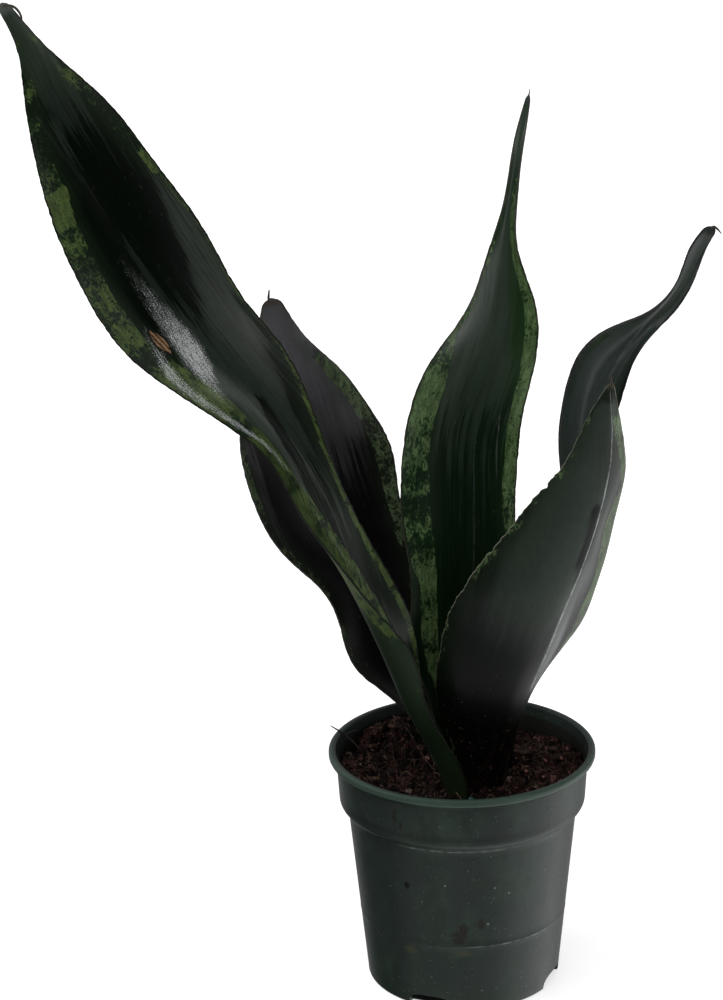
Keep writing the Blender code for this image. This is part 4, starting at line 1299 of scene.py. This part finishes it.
def slot_outline():
    """Outline of a low arched drainage slot, as (across, z), running below the pot."""
    half = SLOT_WIDTH / 2
    power = 2.0 / SLOT_SQUARENESS
    arch = []
    for angle in np.linspace(0, math.pi, SLOT_ARC_STEPS + 1):
        across = math.copysign(abs(math.cos(angle)) ** power, math.cos(angle))
        arch.append((half * across, SLOT_HEIGHT * max(math.sin(angle), 0.0) ** power))
    return [(half, -SLOT_BELOW)] + arch + [(-half, -SLOT_BELOW)]


def slot_cutter():
    """All the drainage slots as one mesh of separate arched bars along the radius."""
    outline = slot_outline()
    count = len(outline)
    points = []
    faces = []
    for index in range(SLOT_COUNT):
        turn = math.radians(SLOT_FIRST_ANGLE + 360.0 * index / SLOT_COUNT)
        start = len(points)
        for radius in (SLOT_INNER_RADIUS, SLOT_OUTER_RADIUS):
            for across, z in outline:
                x = radius * math.cos(turn) - across * math.sin(turn)
                y = radius * math.sin(turn) + across * math.cos(turn)
                points.append((x, y, z))
        for i in range(count):
            j = (i + 1) % count
            faces.append((start + i, start + j, start + count + j, start + count + i))
        faces.append(tuple(start + i for i in reversed(range(count))))
        faces.append(tuple(start + count + i for i in range(count)))
    return face_outwards(mesh_from("slot_cutter", points, faces))


def pot_mesh():
    """The pot with its drainage slots cut out."""
    pot = new_object("pot_source", pot_body())
    cutter = new_object("slot_cutter", slot_cutter())
    boolean = pot.modifiers.new("slots", "BOOLEAN")
    boolean.operation = "DIFFERENCE"
    boolean.solver = "EXACT"
    boolean.object = cutter
    mesh = evaluated_mesh("pot_wall", pot)
    for item in (pot, cutter):
        bpy.data.objects.remove(item, do_unlink=True)
    return mesh


def pot_marks(place, fringe, settings):
    """Layers for the flecks, smudges, specks and smears on the pot's wall."""
    x, y, z = place
    kinds = [  # colour, strength and how ragged its outline is
        (settings.stain_dark, 1.0, 0.8),
        (settings.stain_brown, 0.75, 3.0),
        (settings.dust_and_highlight, 0.8, 0.8),
        (settings.stain_yellow, 0.6, 3.0),
    ]
    layers = []
    for angle, height, wide, high, kind in POT_MARKS:
        centre = math.radians(angle)
        radius = FOOT_RADIUS + (BODY_TOP_RADIUS - FOOT_RADIUS) * height / BODY_TOP
        if height > BAND_FOOT:
            radius = BAND_FOOT_RADIUS
        away_x = (x - radius * math.cos(centre)) / wide
        away_y = (y - radius * math.sin(centre)) / wide
        away_z = (z - height) / high
        away = away_x * away_x + away_y * away_y + away_z * away_z
        shade, strength, ragged = kinds[kind]
        layers.append(((1.0 - (away + (fringe - 0.5) * ragged).rise(0.3, 1.3)) * strength, shade))
    return layers


def pot_material(settings):
    """Satin moulded plastic with soft upright mottling, scuffs, pale specks and a few marks, painted
    highlights on its lip and along ridges at its front, and painted shade with a thin layer of soil on
    its inner wall.
    """
    material, graph = new_material("moulded_pot")
    place = graph.place()
    x, y, z = place
    plastic = settings.plastic
    round_wall = x.maths("ARCTAN2", y, x) * DEGREES * 0.8
    clouds = graph.noise(round_wall / 9.0, z / 14.0, 0.5, 4.0, 0.6)
    drift = graph.lumps(place, (22.0, 22.0, 40.0))
    grain = graph.lumps(place, 0.5)
    specks = graph.lumps(place, 0.8, 0.0).rise(0.80, 0.84)
    scratches = graph.lumps(place, (9.0, 9.0, 0.12), 1.0).rise(0.70, 0.74)
    scratches = scratches * graph.lumps(place, 6.0, 1.0).rise(0.58, 0.70)
    line_strength = graph.lumps(place, 3.5, 3.0).rise(0.30, 0.72)
    # pale lines along ridges at the front: painted highlight with some wear
    lines = []
    for line, low, high in RIDGE_HIGHLIGHTS_AND_WEAR:
        over = (x - low).rise(-4.0, 8.0) * (high - x).rise(-4.0, 8.0) * (y * -1.0).rise(0.0, 5.0)
        lines.append(((1.0 - (z - line).size().rise(0.08, 0.40)) * over * line_strength, settings.dust_and_highlight))
    fringe = graph.lumps(place, 1.3, 3.0, 0.6)
    away = (x * x + y * y) ** 0.5
    # painted shade on the inner wall above the soil, with a thin layer of soil
    film_and_shade = z.rise(79.0, 81.0) * (1.0 - away.rise(50.2, 50.6))
    film_and_shade = film_and_shade * (1.0 - (z - 0.6 * (fringe - 0.5)).rise(95.0, 97.5))
    # painted highlight: the lip's top drawn lighter than the plastic
    lip = z.rise(96.4, 97.2) * away.rise(52.6, 53.4)
    dusty = (18.0 - z).rise(0.0, 20.0) * clouds.rise(0.4, 0.7)
    base = graph.layers(
        graph.blend(clouds.rise(0.35, 0.7), plastic, toned(plastic, 1.6)),
        (drift.rise(0.42, 0.62) * 0.8, settings.plastic_cool),
        (grain.rise(0.45, 0.75) * 0.35, toned(plastic, 0.5)),
        (specks * 0.5, settings.dust_and_highlight),
        (scratches * 0.35, settings.dust_and_highlight),
        *lines,
        *pot_marks(place, fringe, settings),
        # painted shade and soil on the inner wall
        (film_and_shade * 0.8, settings.inside),
        # painted highlight on the lip
        (lip * (clouds * 0.5 + 0.45), toned(plastic, 3.2)),
        (dusty * 0.40, settings.stain_brown))
    graph.dress({
        "Base Color": base,
        "Roughness": (clouds - 0.5) * 0.16 + (grain - 0.5) * 0.12 + settings.plastic_roughness,
        "Normal": graph.bump(grain * 0.25 + clouds * 1.0 + drift * 2.0, 0.12),
        "IOR": PLASTIC_IOR, "Specular IOR Level": POT_SHEEN})
    return material


# Soil


def soil_level(x, y):
    """Height of the soil's top at a place before its clumps, in millimetres."""
    height = SOIL_LEVEL + SOIL_REAR_RISE * math.tanh(y / SOIL_REAR_SPREAD)
    for mound_x, mound_y, rise, spread in SOIL_MOUNDS:
        away = ((x - mound_x) ** 2 + (y - mound_y) ** 2) / spread ** 2
        height += rise * math.exp(-away)
    for along_x, along_y, phase, rise in SOIL_LUMPS:
        height += rise * math.sin(along_x * x + along_y * y + phase)
    return height


def soil_height(x, y):
    """Height of the soil's top with its clumps, the cracks between them and its grain."""
    height = soil_level(x, y) - SOIL_SINK
    for size, rise in CLUMP_SIZES:
        place = Vector((x / size, y / size, size))
        place += CLUMP_WARP * noise.noise_vector(place * WARP_FINENESS)
        distances, centres = noise.voronoi(place)
        side = min((distances[1] - distances[0]) / CLUMP_CRACK, 1.0)
        own = CLUMP_MIDDLE + CLUMP_SPREAD * noise.noise(centres[0] * 3.1)
        height += rise * own * (1 - (1 - side) ** 2)
    grain = noise.fractal(Vector((x / GRAIN_SIZE, y / GRAIN_SIZE, 3.0)), *GRAIN_FRACTAL)
    return height + GRAIN_RISE * grain


def inside_radius(z):
    """Radius of the pot's inner wall at a height between the band's foot and its top."""
    share = (z - BAND_FOOT) / (BAND_TOP - BAND_FOOT)
    return BAND_FOOT_RADIUS + share * (BAND_TOP_RADIUS - BAND_FOOT_RADIUS) - WALL


def soil_rings(segments, margin):
    """Rings of points over the soil's top, from its edge inwards."""
    points = []
    for ring in range(SOIL_RINGS):
        share = 1.0 - ring / SOIL_RINGS
        for a in np.linspace(0, 2 * math.pi, segments, endpoint=False):
            edge = inside_radius(SOIL_LEVEL) - SOIL_GAP
            edge = inside_radius(soil_level(edge * math.cos(a), edge * math.sin(a))) - SOIL_GAP - margin
            x = share * edge * math.cos(a)
            y = share * edge * math.sin(a)
            points.append((x, y, soil_height(x, y)))
    return points


def soil_mesh():
    """The soil as one closed body: sides just inside the pot's wall and a clumpy top."""
    lower = [(r - SOIL_GAP, z + SOIL_GAP) for r, z in reversed(pot_inside()) if z <= BAND_FOOT]
    rings = spun(lower, SOIL_SEGMENTS) + soil_rings(SOIL_SEGMENTS, 0.0)
    poles = [(0.0, 0.0, lower[0][1]), (0.0, 0.0, soil_height(0.0, 0.0))]
    mesh = closed_rings("soil_body", rings, SOIL_SEGMENTS, poles)
    keep_number(mesh, "relief", [z + SOIL_SINK - soil_level(x, y) for x, y, z in rings + poles])
    return mesh


def litter_ground():
    """An open sheet over the soil's top, which the crumbs are scattered on."""
    rings = soil_rings(LITTER_SEGMENTS, LITTER_MARGIN)
    return mesh_from("litter_ground", rings, ring_faces(SOIL_RINGS, LITTER_SEGMENTS))


def crumb_tree():
    """A node group that scatters uneven crumbs over a surface."""
    tree, graph, given = new_tree("crumbs", [
        ("Ground", "Geometry", None), ("Density", "Float", 100000.0), ("Smallest", "Float", 0.0005),
        ("Largest", "Float", 0.002), ("Unevenness", "Float", 0.0008), ("Length", "Float", 1.0),
        ("Flatness", "Float", CRUMB_FLATNESS), ("Roundness", "Int", 2), ("Seed", "Int", 1),
        ("Finish", "Material", None)])
    smallest, largest, long, flat, seed = [
        Value(graph, given[name]) for name in ("Smallest", "Largest", "Length", "Flatness", "Seed")]

    def enabled(sockets):
        return [socket for socket in sockets if socket.enabled]

    def draw(low, high, salt, kind="FLOAT"):
        """A random number or vector for each crumb."""
        node = graph.node("FunctionNodeRandomValue", {"data_type": kind}, {"Seed": seed + salt})
        graph.feed(enabled(node.inputs)[0], low)
        graph.feed(enabled(node.inputs)[1], high)
        return enabled(node.outputs)[0]

    points = graph.node("GeometryNodeDistributePointsOnFaces", None, {
        "Mesh": given["Ground"], "Density": given["Density"], "Seed": given["Seed"]})
    ball = graph.node("GeometryNodeMeshIcoSphere", None,
                      {"Radius": 1.0, "Subdivisions": given["Roundness"]})
    size = smallest + (largest - smallest) * Value(graph, draw(0.0, 1.0, 1)) ** CRUMB_SIZE_POWER
    length, width = [size * Value(graph, draw(*CRUMB_STRETCH, salt)) for salt in (2, 3)]
    laid = graph.node("GeometryNodeInstanceOnPoints", None, {
        "Points": points.outputs["Points"], "Instance": ball.outputs["Mesh"],
        "Rotation": draw(*CRUMB_TURN, 4, "FLOAT_VECTOR"),
        "Scale": graph.vector(length * long, width, size * flat)})
    tinted = graph.node("GeometryNodeStoreNamedAttribute", {"data_type": "FLOAT", "domain": "INSTANCE"}, {
        "Geometry": laid.outputs[0], "Name": "tint"})
    graph.feed(enabled(tinted.inputs)[-1], draw(0.0, 1.0, 5))
    real = graph.node("GeometryNodeRealizeInstances", None, {0: tinted.outputs[0]})
    place = graph.node("GeometryNodeInputPosition").outputs[0]
    ripple = graph.node("ShaderNodeTexNoise", None,
                        {"Vector": place, "Scale": CRUMB_RIPPLE, "Detail": 2.0})
    centred = graph.node("ShaderNodeVectorMath", {"operation": "SUBTRACT"},
                         {0: ripple.outputs["Color"], 1: (0.5, 0.5, 0.5)})
    offset = graph.node("ShaderNodeVectorMath", {"operation": "SCALE"},
                        {0: centred.outputs[0], "Scale": given["Unevenness"]})
    moved = graph.node("GeometryNodeSetPosition", None,
                       {"Geometry": real.outputs[0], "Offset": offset.outputs[0]})
    give_out(graph, moved.outputs[0], given["Finish"])
    return tree


def shaded_layers(graph, place, dark):
    """Layers of painted shade that darken the soil at its front and in wide noisy patches standing for
    shaded hollows, less so at its right.
    """
    x, y, _ = place
    front = (y * -1.0).rise(6.0, 24.0) * (1.0 - x.rise(14.0, 30.0) * 0.4)
    hollows = 1.0 - graph.noise(x / 6.0, y / 6.0, 0.0, 2.0, 0.6).rise(0.42, 0.58)
    return [(front * 0.82, dark), (hollows * (1.0 - x.rise(12.0, 28.0) * 0.7) * 0.84, dark)]


def soil_material(settings):
    """Damp peat: reddish-brown clumps and pale bits, with painted shade in its cracks, in hollows and at its
    front.
    """
    material, graph = new_material("damp_peat")
    place = graph.place()
    clump = graph.lumps(place, 4.0, 3.0, 0.6)
    grain = graph.lumps(place, 0.7, 3.0, 0.65)
    # relief: height above the cracks; low parts get painted shade
    relief = (graph.attribute("relief") + (grain - 0.5) * 1.5).rise(1.6, 4.2)
    base = graph.layers(
        graph.blend(clump.rise(0.35, 0.65), settings.dark_peat_and_shade, settings.peat),
        (grain.rise(0.55, 0.75) * 0.7, settings.peat_red),
        (grain.rise(0.76, 0.84) * 0.5, settings.peat_pale),
        # painted shade in the cracks between clumps
        (1.0 - relief, settings.dark_peat_and_shade),
        # painted shade at the front and in hollows
        *shaded_layers(graph, place, settings.dark_peat_and_shade))
    graph.dress({
        "Base Color": base, "Roughness": grain * 0.3 + 0.55, "Specular IOR Level": SOIL_SHEEN,
        "Normal": graph.bump(grain * 0.7 + clump * 0.5, 0.5)})
    return material


def crumb_material(settings):
    """Crumbs of peat, each with its own tint."""
    material, graph = new_material("peat_crumbs")
    place = graph.place()
    tint = graph.attribute("tint")
    grain = graph.lumps(place, 0.6, 3.0, 0.65)
    base = graph.layers(
        graph.blend(tint.rise(0.0, 0.8), settings.dark_peat_and_shade, settings.peat),
        (tint.rise(0.75, 0.95) * 0.9, settings.peat_red),
        (tint.rise(0.955, 0.975), settings.peat_pale),
        (grain.rise(0.5, 0.75) * 0.4, settings.peat_red),
        # painted shade at the front and in hollows, as on the soil
        *shaded_layers(graph, place, settings.dark_peat_and_shade))
    graph.dress({
        "Base Color": base, "Roughness": grain * 0.3 + 0.5, "Specular IOR Level": SOIL_SHEEN,
        "Normal": graph.bump(grain, 0.35)})
    return material


def fibre_material(settings):
    """Coir fibres, dark in places."""
    material, graph = new_material("coir_fibre")
    patch = graph.lumps(graph.place(), 3.0, 1.0)
    graph.dress({
        "Base Color": graph.blend(patch.rise(0.3, 0.7), settings.fibre_dark, settings.fibre),
        "Roughness": patch * 0.2 + 0.5, "Specular IOR Level": SOIL_SHEEN})
    return material


def bark_material(settings):
    """Bark in thin layers."""
    material, graph = new_material("bark")
    place = graph.place()
    layer = graph.lumps(place, (3.0, 3.0, 0.5), 2.0, 0.6)
    grain = graph.lumps(place, 0.5)
    base = graph.blend(layer.rise(0.35, 0.65), settings.bark_dark, settings.bark)
    graph.dress({
        "Base Color": graph.blend(grain.rise(0.6, 0.75) * 0.5, base, settings.dark_peat_and_shade),
        "Roughness": grain * 0.2 + 0.6, "Specular IOR Level": SOIL_SHEEN,
        "Normal": graph.bump(layer + grain * 0.4, 0.4)})
    return material


def pellet_material(settings):
    """The slow-release pellet's blue-green coat."""
    material, graph = new_material("teal_pellet")
    patch = graph.lumps(graph.place(), 1.0)
    graph.dress({
        "Base Color": graph.blend(patch, settings.pellet, toned(settings.pellet, 0.6)), "Roughness": 0.45})
    return material


def twig_material():
    """The nearly black skin of the twig over the rim."""
    material, graph = new_material("dark_twig")
    patch = graph.lumps(graph.place(), 1.5)
    graph.dress({
        "Base Color": graph.blend(patch, TWIG_DARK, TWIG_LIGHT), "Roughness": 0.7,
        "Normal": graph.bump(patch, 0.2)})
    return material


def fibre_paths(count, seed):
    """Short bent fibres that lie on the soil, as lists of (x, y, z, radius)."""
    draw = random.Random(seed)
    paths = []
    reach = inside_radius(SOIL_LEVEL) - SOIL_GAP - LITTER_MARGIN
    while len(paths) < count:
        x = draw.uniform(-reach, reach)
        y = draw.uniform(-reach, reach)
        heading = draw.uniform(0, 2 * math.pi)
        length = draw.uniform(*(FIBRE_LENGTH if len(paths) % LONG_FIBRE_EVERY else LONG_FIBRE))
        radius = draw.uniform(*FIBRE_RADIUS)
        lift = draw.uniform(*FIBRE_LIFT)
        path = []
        for i in range(FIBRE_STEPS + 1):
            z = soil_height(x, y) + radius + lift * math.sin(i / FIBRE_STEPS * math.pi)
            path.append((x, y, z, radius * (1 - FIBRE_TAPER * i)))
            heading += draw.uniform(-FIBRE_BEND, FIBRE_BEND)
            x += length / FIBRE_STEPS * math.cos(heading)
            y += length / FIBRE_STEPS * math.sin(heading)
        if max(math.hypot(p[0], p[1]) for p in path) < reach:
            paths.append(path)
    return paths


def bark_mesh(bits, seed):
    """Chips of bark, each an uneven lens that lies on the soil."""
    draw = random.Random(seed)
    build = bmesh.new()
    for x, y, length, width, thickness, turn, tilt in bits:
        made = bmesh.ops.create_icosphere(build, subdivisions=3, radius=0.5)["verts"]
        shift = draw.uniform(0, 100)
        for corner in made:
            x_part, y_part, z_part = corner.co
            bulge = 1.0 + BARK_BULGE * noise.noise(corner.co * BARK_BULGES + Vector((shift, 0, 0)))
            corner.co = Vector((x_part, y_part, z_part)) * bulge
            corner.co.z = math.copysign(abs(corner.co.z * 2) ** BARK_SQUARENESS, corner.co.z) / 2
            corner.co.z += BARK_RIPPLE * noise.noise(
                Vector((x_part * BARK_RIPPLES, y_part * BARK_RIPPLES, shift)))
        matrix = Matrix.Translation((x * MM, y * MM, (soil_height(x, y) + BARK_LIFT * thickness) * MM))
        matrix @= Matrix.Rotation(math.radians(turn), 4, "Z") @ Matrix.Rotation(math.radians(tilt), 4, "Y")
        matrix @= Matrix.Diagonal((length * MM, width * MM, thickness * MM, 1.0))
        bmesh.ops.transform(build, matrix=matrix, verts=made)
    return built_mesh("bark_bits", build)


def pellet_mesh():
    """The pellet, a ball sunk a little in the soil."""
    x, y = PELLET_PLACE
    build = bmesh.new()
    bmesh.ops.create_icosphere(build, subdivisions=3, radius=PELLET_RADIUS * MM)
    rise = soil_height(x, y) + PELLET_LIFT * PELLET_RADIUS
    bmesh.ops.translate(build, verts=build.verts, vec=(x * MM, y * MM, rise * MM))
    return built_mesh("pellet", build)


# Settings, operators and the panel


def colour_of(name, description, default):
    """A colour that a user can change."""
    return FloatVectorProperty(name=name, description=description, default=default, subtype="COLOR",
                               min=0.0, max=1.0)


class LeafSettings(bpy.types.PropertyGroup):
    row_step: FloatProperty(name="Row step", description="Spacing of the rows along a leaf",
                            default=0.001, min=0.0005, max=0.005, precision=5, unit="LENGTH")
    gloss: FloatProperty(name="Roughness", description="Multiplies the roughness of every waxy skin",
                         default=1.0, min=0.1, max=3.0)
    ridge_height: FloatProperty(name="Ridge height", description="Height of the long ridges",
                                default=0.00015, min=0.0, max=0.002, precision=5, unit="LENGTH")


class PotSettings(bpy.types.PropertyGroup):
    plastic: colour_of("Plastic", "Main colour of the pot", (0.0150, 0.0250, 0.0195))
    plastic_cool: colour_of("Cool plastic", "Bluer patches of the pot", (0.0190, 0.0260, 0.0225))
    # pale specks and scuffs, and the painted highlights along ridges at the front
    dust_and_highlight: colour_of("Dust", "Pale specks and scuffs", (0.16, 0.18, 0.165))
    stain_dark: colour_of("Dark fleck", "Dark flecks on the wall", (0.002, 0.002, 0.002))
    stain_brown: colour_of("Brown smudge", "Smudges of soil", (0.0110, 0.0078, 0.0062))
    stain_yellow: colour_of("Yellow smear", "Yellowish smears of lime", (0.045, 0.047, 0.022))
    # the soil's layer on the inner wall and the painted shade there
    inside: colour_of("Inside", "Soil film on the inner wall", (0.0085, 0.0060, 0.0058))
    plastic_roughness: FloatProperty(name="Roughness", description="Roughness of the plastic",
                                     default=0.42, min=0.05, max=1.0, subtype="FACTOR")


class SoilSettings(bpy.types.PropertyGroup):
    peat: colour_of("Peat", "Main colour of the peat", (0.0380, 0.0180, 0.0150))
    # dark peat, and the colour of the painted shade in the soil's cracks, hollows and front
    dark_peat_and_shade: colour_of("Dark peat", "Colour in the hollows", (0.0016, 0.0009, 0.0009))
    peat_red: colour_of("Red peat", "Reddish fibrous bits", (0.260, 0.132, 0.112))
    peat_pale: colour_of("Pale bits", "Pale flakes", (0.17, 0.125, 0.105))
    fibre: colour_of("Fibre", "Pale fibres", (0.130, 0.085, 0.062))
    fibre_dark: colour_of("Dark fibre", "Dark fibres", (0.007, 0.004, 0.003))
    bark: colour_of("Bark", "Light layers of bark", (0.055, 0.033, 0.020))
    bark_dark: colour_of("Dark bark", "Dark layers of bark", (0.014, 0.008, 0.005))
    pellet: colour_of("Pellet", "Colour of the slow-release pellet", (0.008, 0.060, 0.060))
    crumb_density: FloatProperty(name="Crumb density", description="Small crumbs per square metre",
                                 default=230000.0, min=0.0, max=400000.0)
    fibre_count: IntProperty(name="Fibres", description="Number of loose fibres",
                             default=520, min=0, max=3000)
    seed: IntProperty(name="Seed", description="Seed of the scattered litter", default=5, min=0)


class StageSettings(bpy.types.PropertyGroup):
    floor: colour_of("Floor", "Colour of the floor", (0.90, 0.90, 0.90))
    level: FloatProperty(name="Light", description="Brightness of the whole studio", default=1.0, min=0.0)
    base: FloatProperty(name="Base light", description="Brightness of the studio between its soft boxes",
                        default=0.04, min=0.0)
    glow: FloatProperty(name="Floor glow", description="How much the floor is lit from below",
                        default=0.65, min=0.0)


class PLANT_OT_leaves(bpy.types.Operator):
    """Makes the five leaves, each with rounded waved margins and a mottled skin"""
    bl_idname = "plant.leaves"
    bl_label = "Leaves"

    def execute(self, context):
        settings = context.scene.plant_leaves
        for name in LEAVES:
            mesh = leaf_mesh(name, settings.row_step / MM)
            add_piece(name + "_blade", mesh, leaf_material(name, settings), "leaf", name)
        return {"FINISHED"}


class PLANT_OT_tips(bpy.types.Operator):
    """Makes the dried threads at the leaves' tips"""
    bl_idname = "plant.tips"
    bl_label = "Dry tips"

    def execute(self, context):
        add_threads("dry_tips", DRY_TIPS, dry_material(), "leaf", sides=8, step=0.4)
        return {"FINISHED"}


class PLANT_OT_pot(bpy.types.Operator):
    """Makes the moulded pot with its band, lip and drainage slots"""
    bl_idname = "plant.pot"
    bl_label = "Pot"

    def execute(self, context):
        mesh = pot_mesh()
        add_piece("pot_wall", mesh, pot_material(context.scene.plant_pot), "pot", "pot")
        mesh.set_sharp_from_angle(angle=math.radians(POT_SHARP_ANGLE))
        return {"FINISHED"}


class PLANT_OT_soil(bpy.types.Operator):
    """Makes the clumpy body of potting soil"""
    bl_idname = "plant.soil"
    bl_label = "Soil"

    def execute(self, context):
        add_piece("soil_body", soil_mesh(), soil_material(context.scene.plant_soil), "soil", "soil")
        return {"FINISHED"}


class PLANT_OT_litter(bpy.types.Operator):
    """Scatters crumbs, fibres and bits of bark over the soil"""
    bl_idname = "plant.litter"
    bl_label = "Litter"

    def execute(self, context):
        settings = context.scene.plant_soil
        material = crumb_material(settings)
        tree = crumb_tree()
        for index, (name, density, smallest, largest, unevenness, length, roundness) in enumerate(CRUMBS):
            mesh = run_tree(name, litter_ground(), tree, {
                "Density": settings.crumb_density * density, "Smallest": smallest * MM,
                "Largest": largest * MM, "Unevenness": unevenness * MM, "Length": length,
                "Flatness": CRUMB_FLATNESS, "Roundness": roundness, "Seed": settings.seed + index,
                "Finish": material})
            add_piece(name, mesh, material, "soil")
        paths = fibre_paths(settings.fibre_count, settings.seed)
        add_threads("soil_fibres", paths, fibre_material(settings), "soil", sides=5, step=0.8)
        add_piece("bark_bits", bark_mesh(BARK_BITS, settings.seed), bark_material(settings), "soil")
        return {"FINISHED"}


class PLANT_OT_strays(bpy.types.Operator):
    """Makes the pellet, the twig over the rim and the long pale strand"""
    bl_idname = "plant.strays"
    bl_label = "Strays"

    def execute(self, context):
        add_piece("pellet", pellet_mesh(), pellet_material(context.scene.plant_soil), "soil")
        add_threads("twig", TWIGS, twig_material(), "soil", sides=8, step=0.6)
        path = [(x, y, soil_height(x, y) + STRAND_LIFT, STRAND_RADIUS) for x, y in STRAND]
        add_threads("pale_strand", [path], bpy.data.materials["coir_fibre"], "soil", sides=6, step=0.8)
        return {"FINISHED"}


def floor_material(settings):
    """A pale floor that glows a little, so that it stays white under the studio's soft light."""
    material, graph = new_material("pale_floor")
    patch = graph.lumps(graph.place(), 600.0, 1.0)
    shade = graph.blend(patch, settings.floor, toned(settings.floor, 0.985))
    graph.dress({
        "Base Color": shade, "Emission Color": shade, "Emission Strength": settings.glow,
        "Roughness": 0.8})
    return material


def set_world(settings):
    """A soft studio all round: bright boxes of light over a dim base. The camera sees it plain white."""
    world = bpy.data.worlds.new("studio")
    bpy.context.scene.world = world
    world.use_nodes = True
    graph = Graph(world.node_tree)
    x, y, z = graph.coordinates("Generated")
    turn = x.maths("ARCTAN2", x, y * -1.0) * DEGREES
    height = z.maths("ARCSINE", z) * DEGREES

    def within(angle, low, high, soft):
        return ((high - low) / 2 - (angle - (low + high) / 2).size()).rise(-soft, soft)

    strength = settings.base
    for left, right, low, high, soft, power in SOFT_BOXES:
        strength = within(turn, left, right, soft) * within(height, low, high, soft) * power + strength
    strength = strength * settings.level
    seen = Value(graph, graph.node("ShaderNodeLightPath").outputs["Is Camera Ray"])
    background = world.node_tree.nodes["Background"]
    background.inputs["Color"].default_value = (1.0, 1.0, 1.0, 1.0)
    graph.feed(background.inputs["Strength"], strength * (1.0 - seen) + seen)


class PLANT_OT_stage(bpy.types.Operator):
    """Makes the floor, the studio round it and the camera"""
    bl_idname = "plant.stage"
    bl_label = "Stage"

    def execute(self, context):
        settings = context.scene.plant_stage
        build = bmesh.new()
        bmesh.ops.create_circle(build, cap_ends=True, segments=FLOOR_SEGMENTS, radius=FLOOR_RADIUS * MM)
        mesh = built_mesh("stage_floor", build)
        mesh.materials.append(floor_material(settings))
        floor = new_object("stage_floor", mesh)
        floor.location.z = -FLOOR_DROP * MM
        floor.visible_glossy = False
        floor.visible_diffuse = False
        set_world(settings)
        view = bpy.data.cameras.new("camera")
        view.lens = CAMERA_LENS
        view.sensor_width = SENSOR
        view.clip_end = CAMERA_REACH * MM
        camera = new_object("camera", view)
        turn = Matrix((CAMERA_RIGHT, CAMERA_UP, [-c for c in CAMERA_FORWARD])).transposed()
        camera.matrix_world = Matrix.Translation(Vector(CAMERA_PLACE) * MM) @ turn.to_4x4()
        context.scene.camera = camera
        context.scene.view_settings.view_transform = "Standard"
        return {"FINISHED"}


OPERATORS = [PLANT_OT_leaves, PLANT_OT_tips, PLANT_OT_pot, PLANT_OT_soil, PLANT_OT_litter,
             PLANT_OT_strays, PLANT_OT_stage]
SETTINGS = {
    "plant_leaves": LeafSettings,
    "plant_pot": PotSettings,
    "plant_soil": SoilSettings,
    "plant_stage": StageSettings,
}


class PLANT_PT_panel(bpy.types.Panel):
    """Lists what makes the plant, with its sizes and colours"""
    bl_idname = "PLANT_PT_panel"
    bl_label = "Potted snake plant"
    bl_space_type = "VIEW_3D"
    bl_region_type = "UI"
    bl_category = "Plant"

    def draw(self, context):
        layout = self.layout
        for operator in OPERATORS:
            layout.operator(operator.bl_idname)
        for name, group in SETTINGS.items():
            box = layout.box()
            for key in group.__annotations__:
                box.prop(getattr(context.scene, name), key)


CLASSES = [*SETTINGS.values(), *OPERATORS, PLANT_PT_panel]


def register():
    for item in CLASSES:
        bpy.utils.register_class(item)
    for name, group in SETTINGS.items():
        setattr(bpy.types.Scene, name, PointerProperty(type=group))


def unregister():
    for name in SETTINGS:
        delattr(bpy.types.Scene, name)
    for item in reversed(CLASSES):
        bpy.utils.unregister_class(item)


def main():
    register()
    bpy.ops.plant.leaves()
    bpy.ops.plant.tips()
    bpy.ops.plant.pot()
    bpy.ops.plant.soil()
    bpy.ops.plant.litter()
    bpy.ops.plant.strays()
    bpy.ops.plant.stage()


if __name__ == "__main__":
    main()
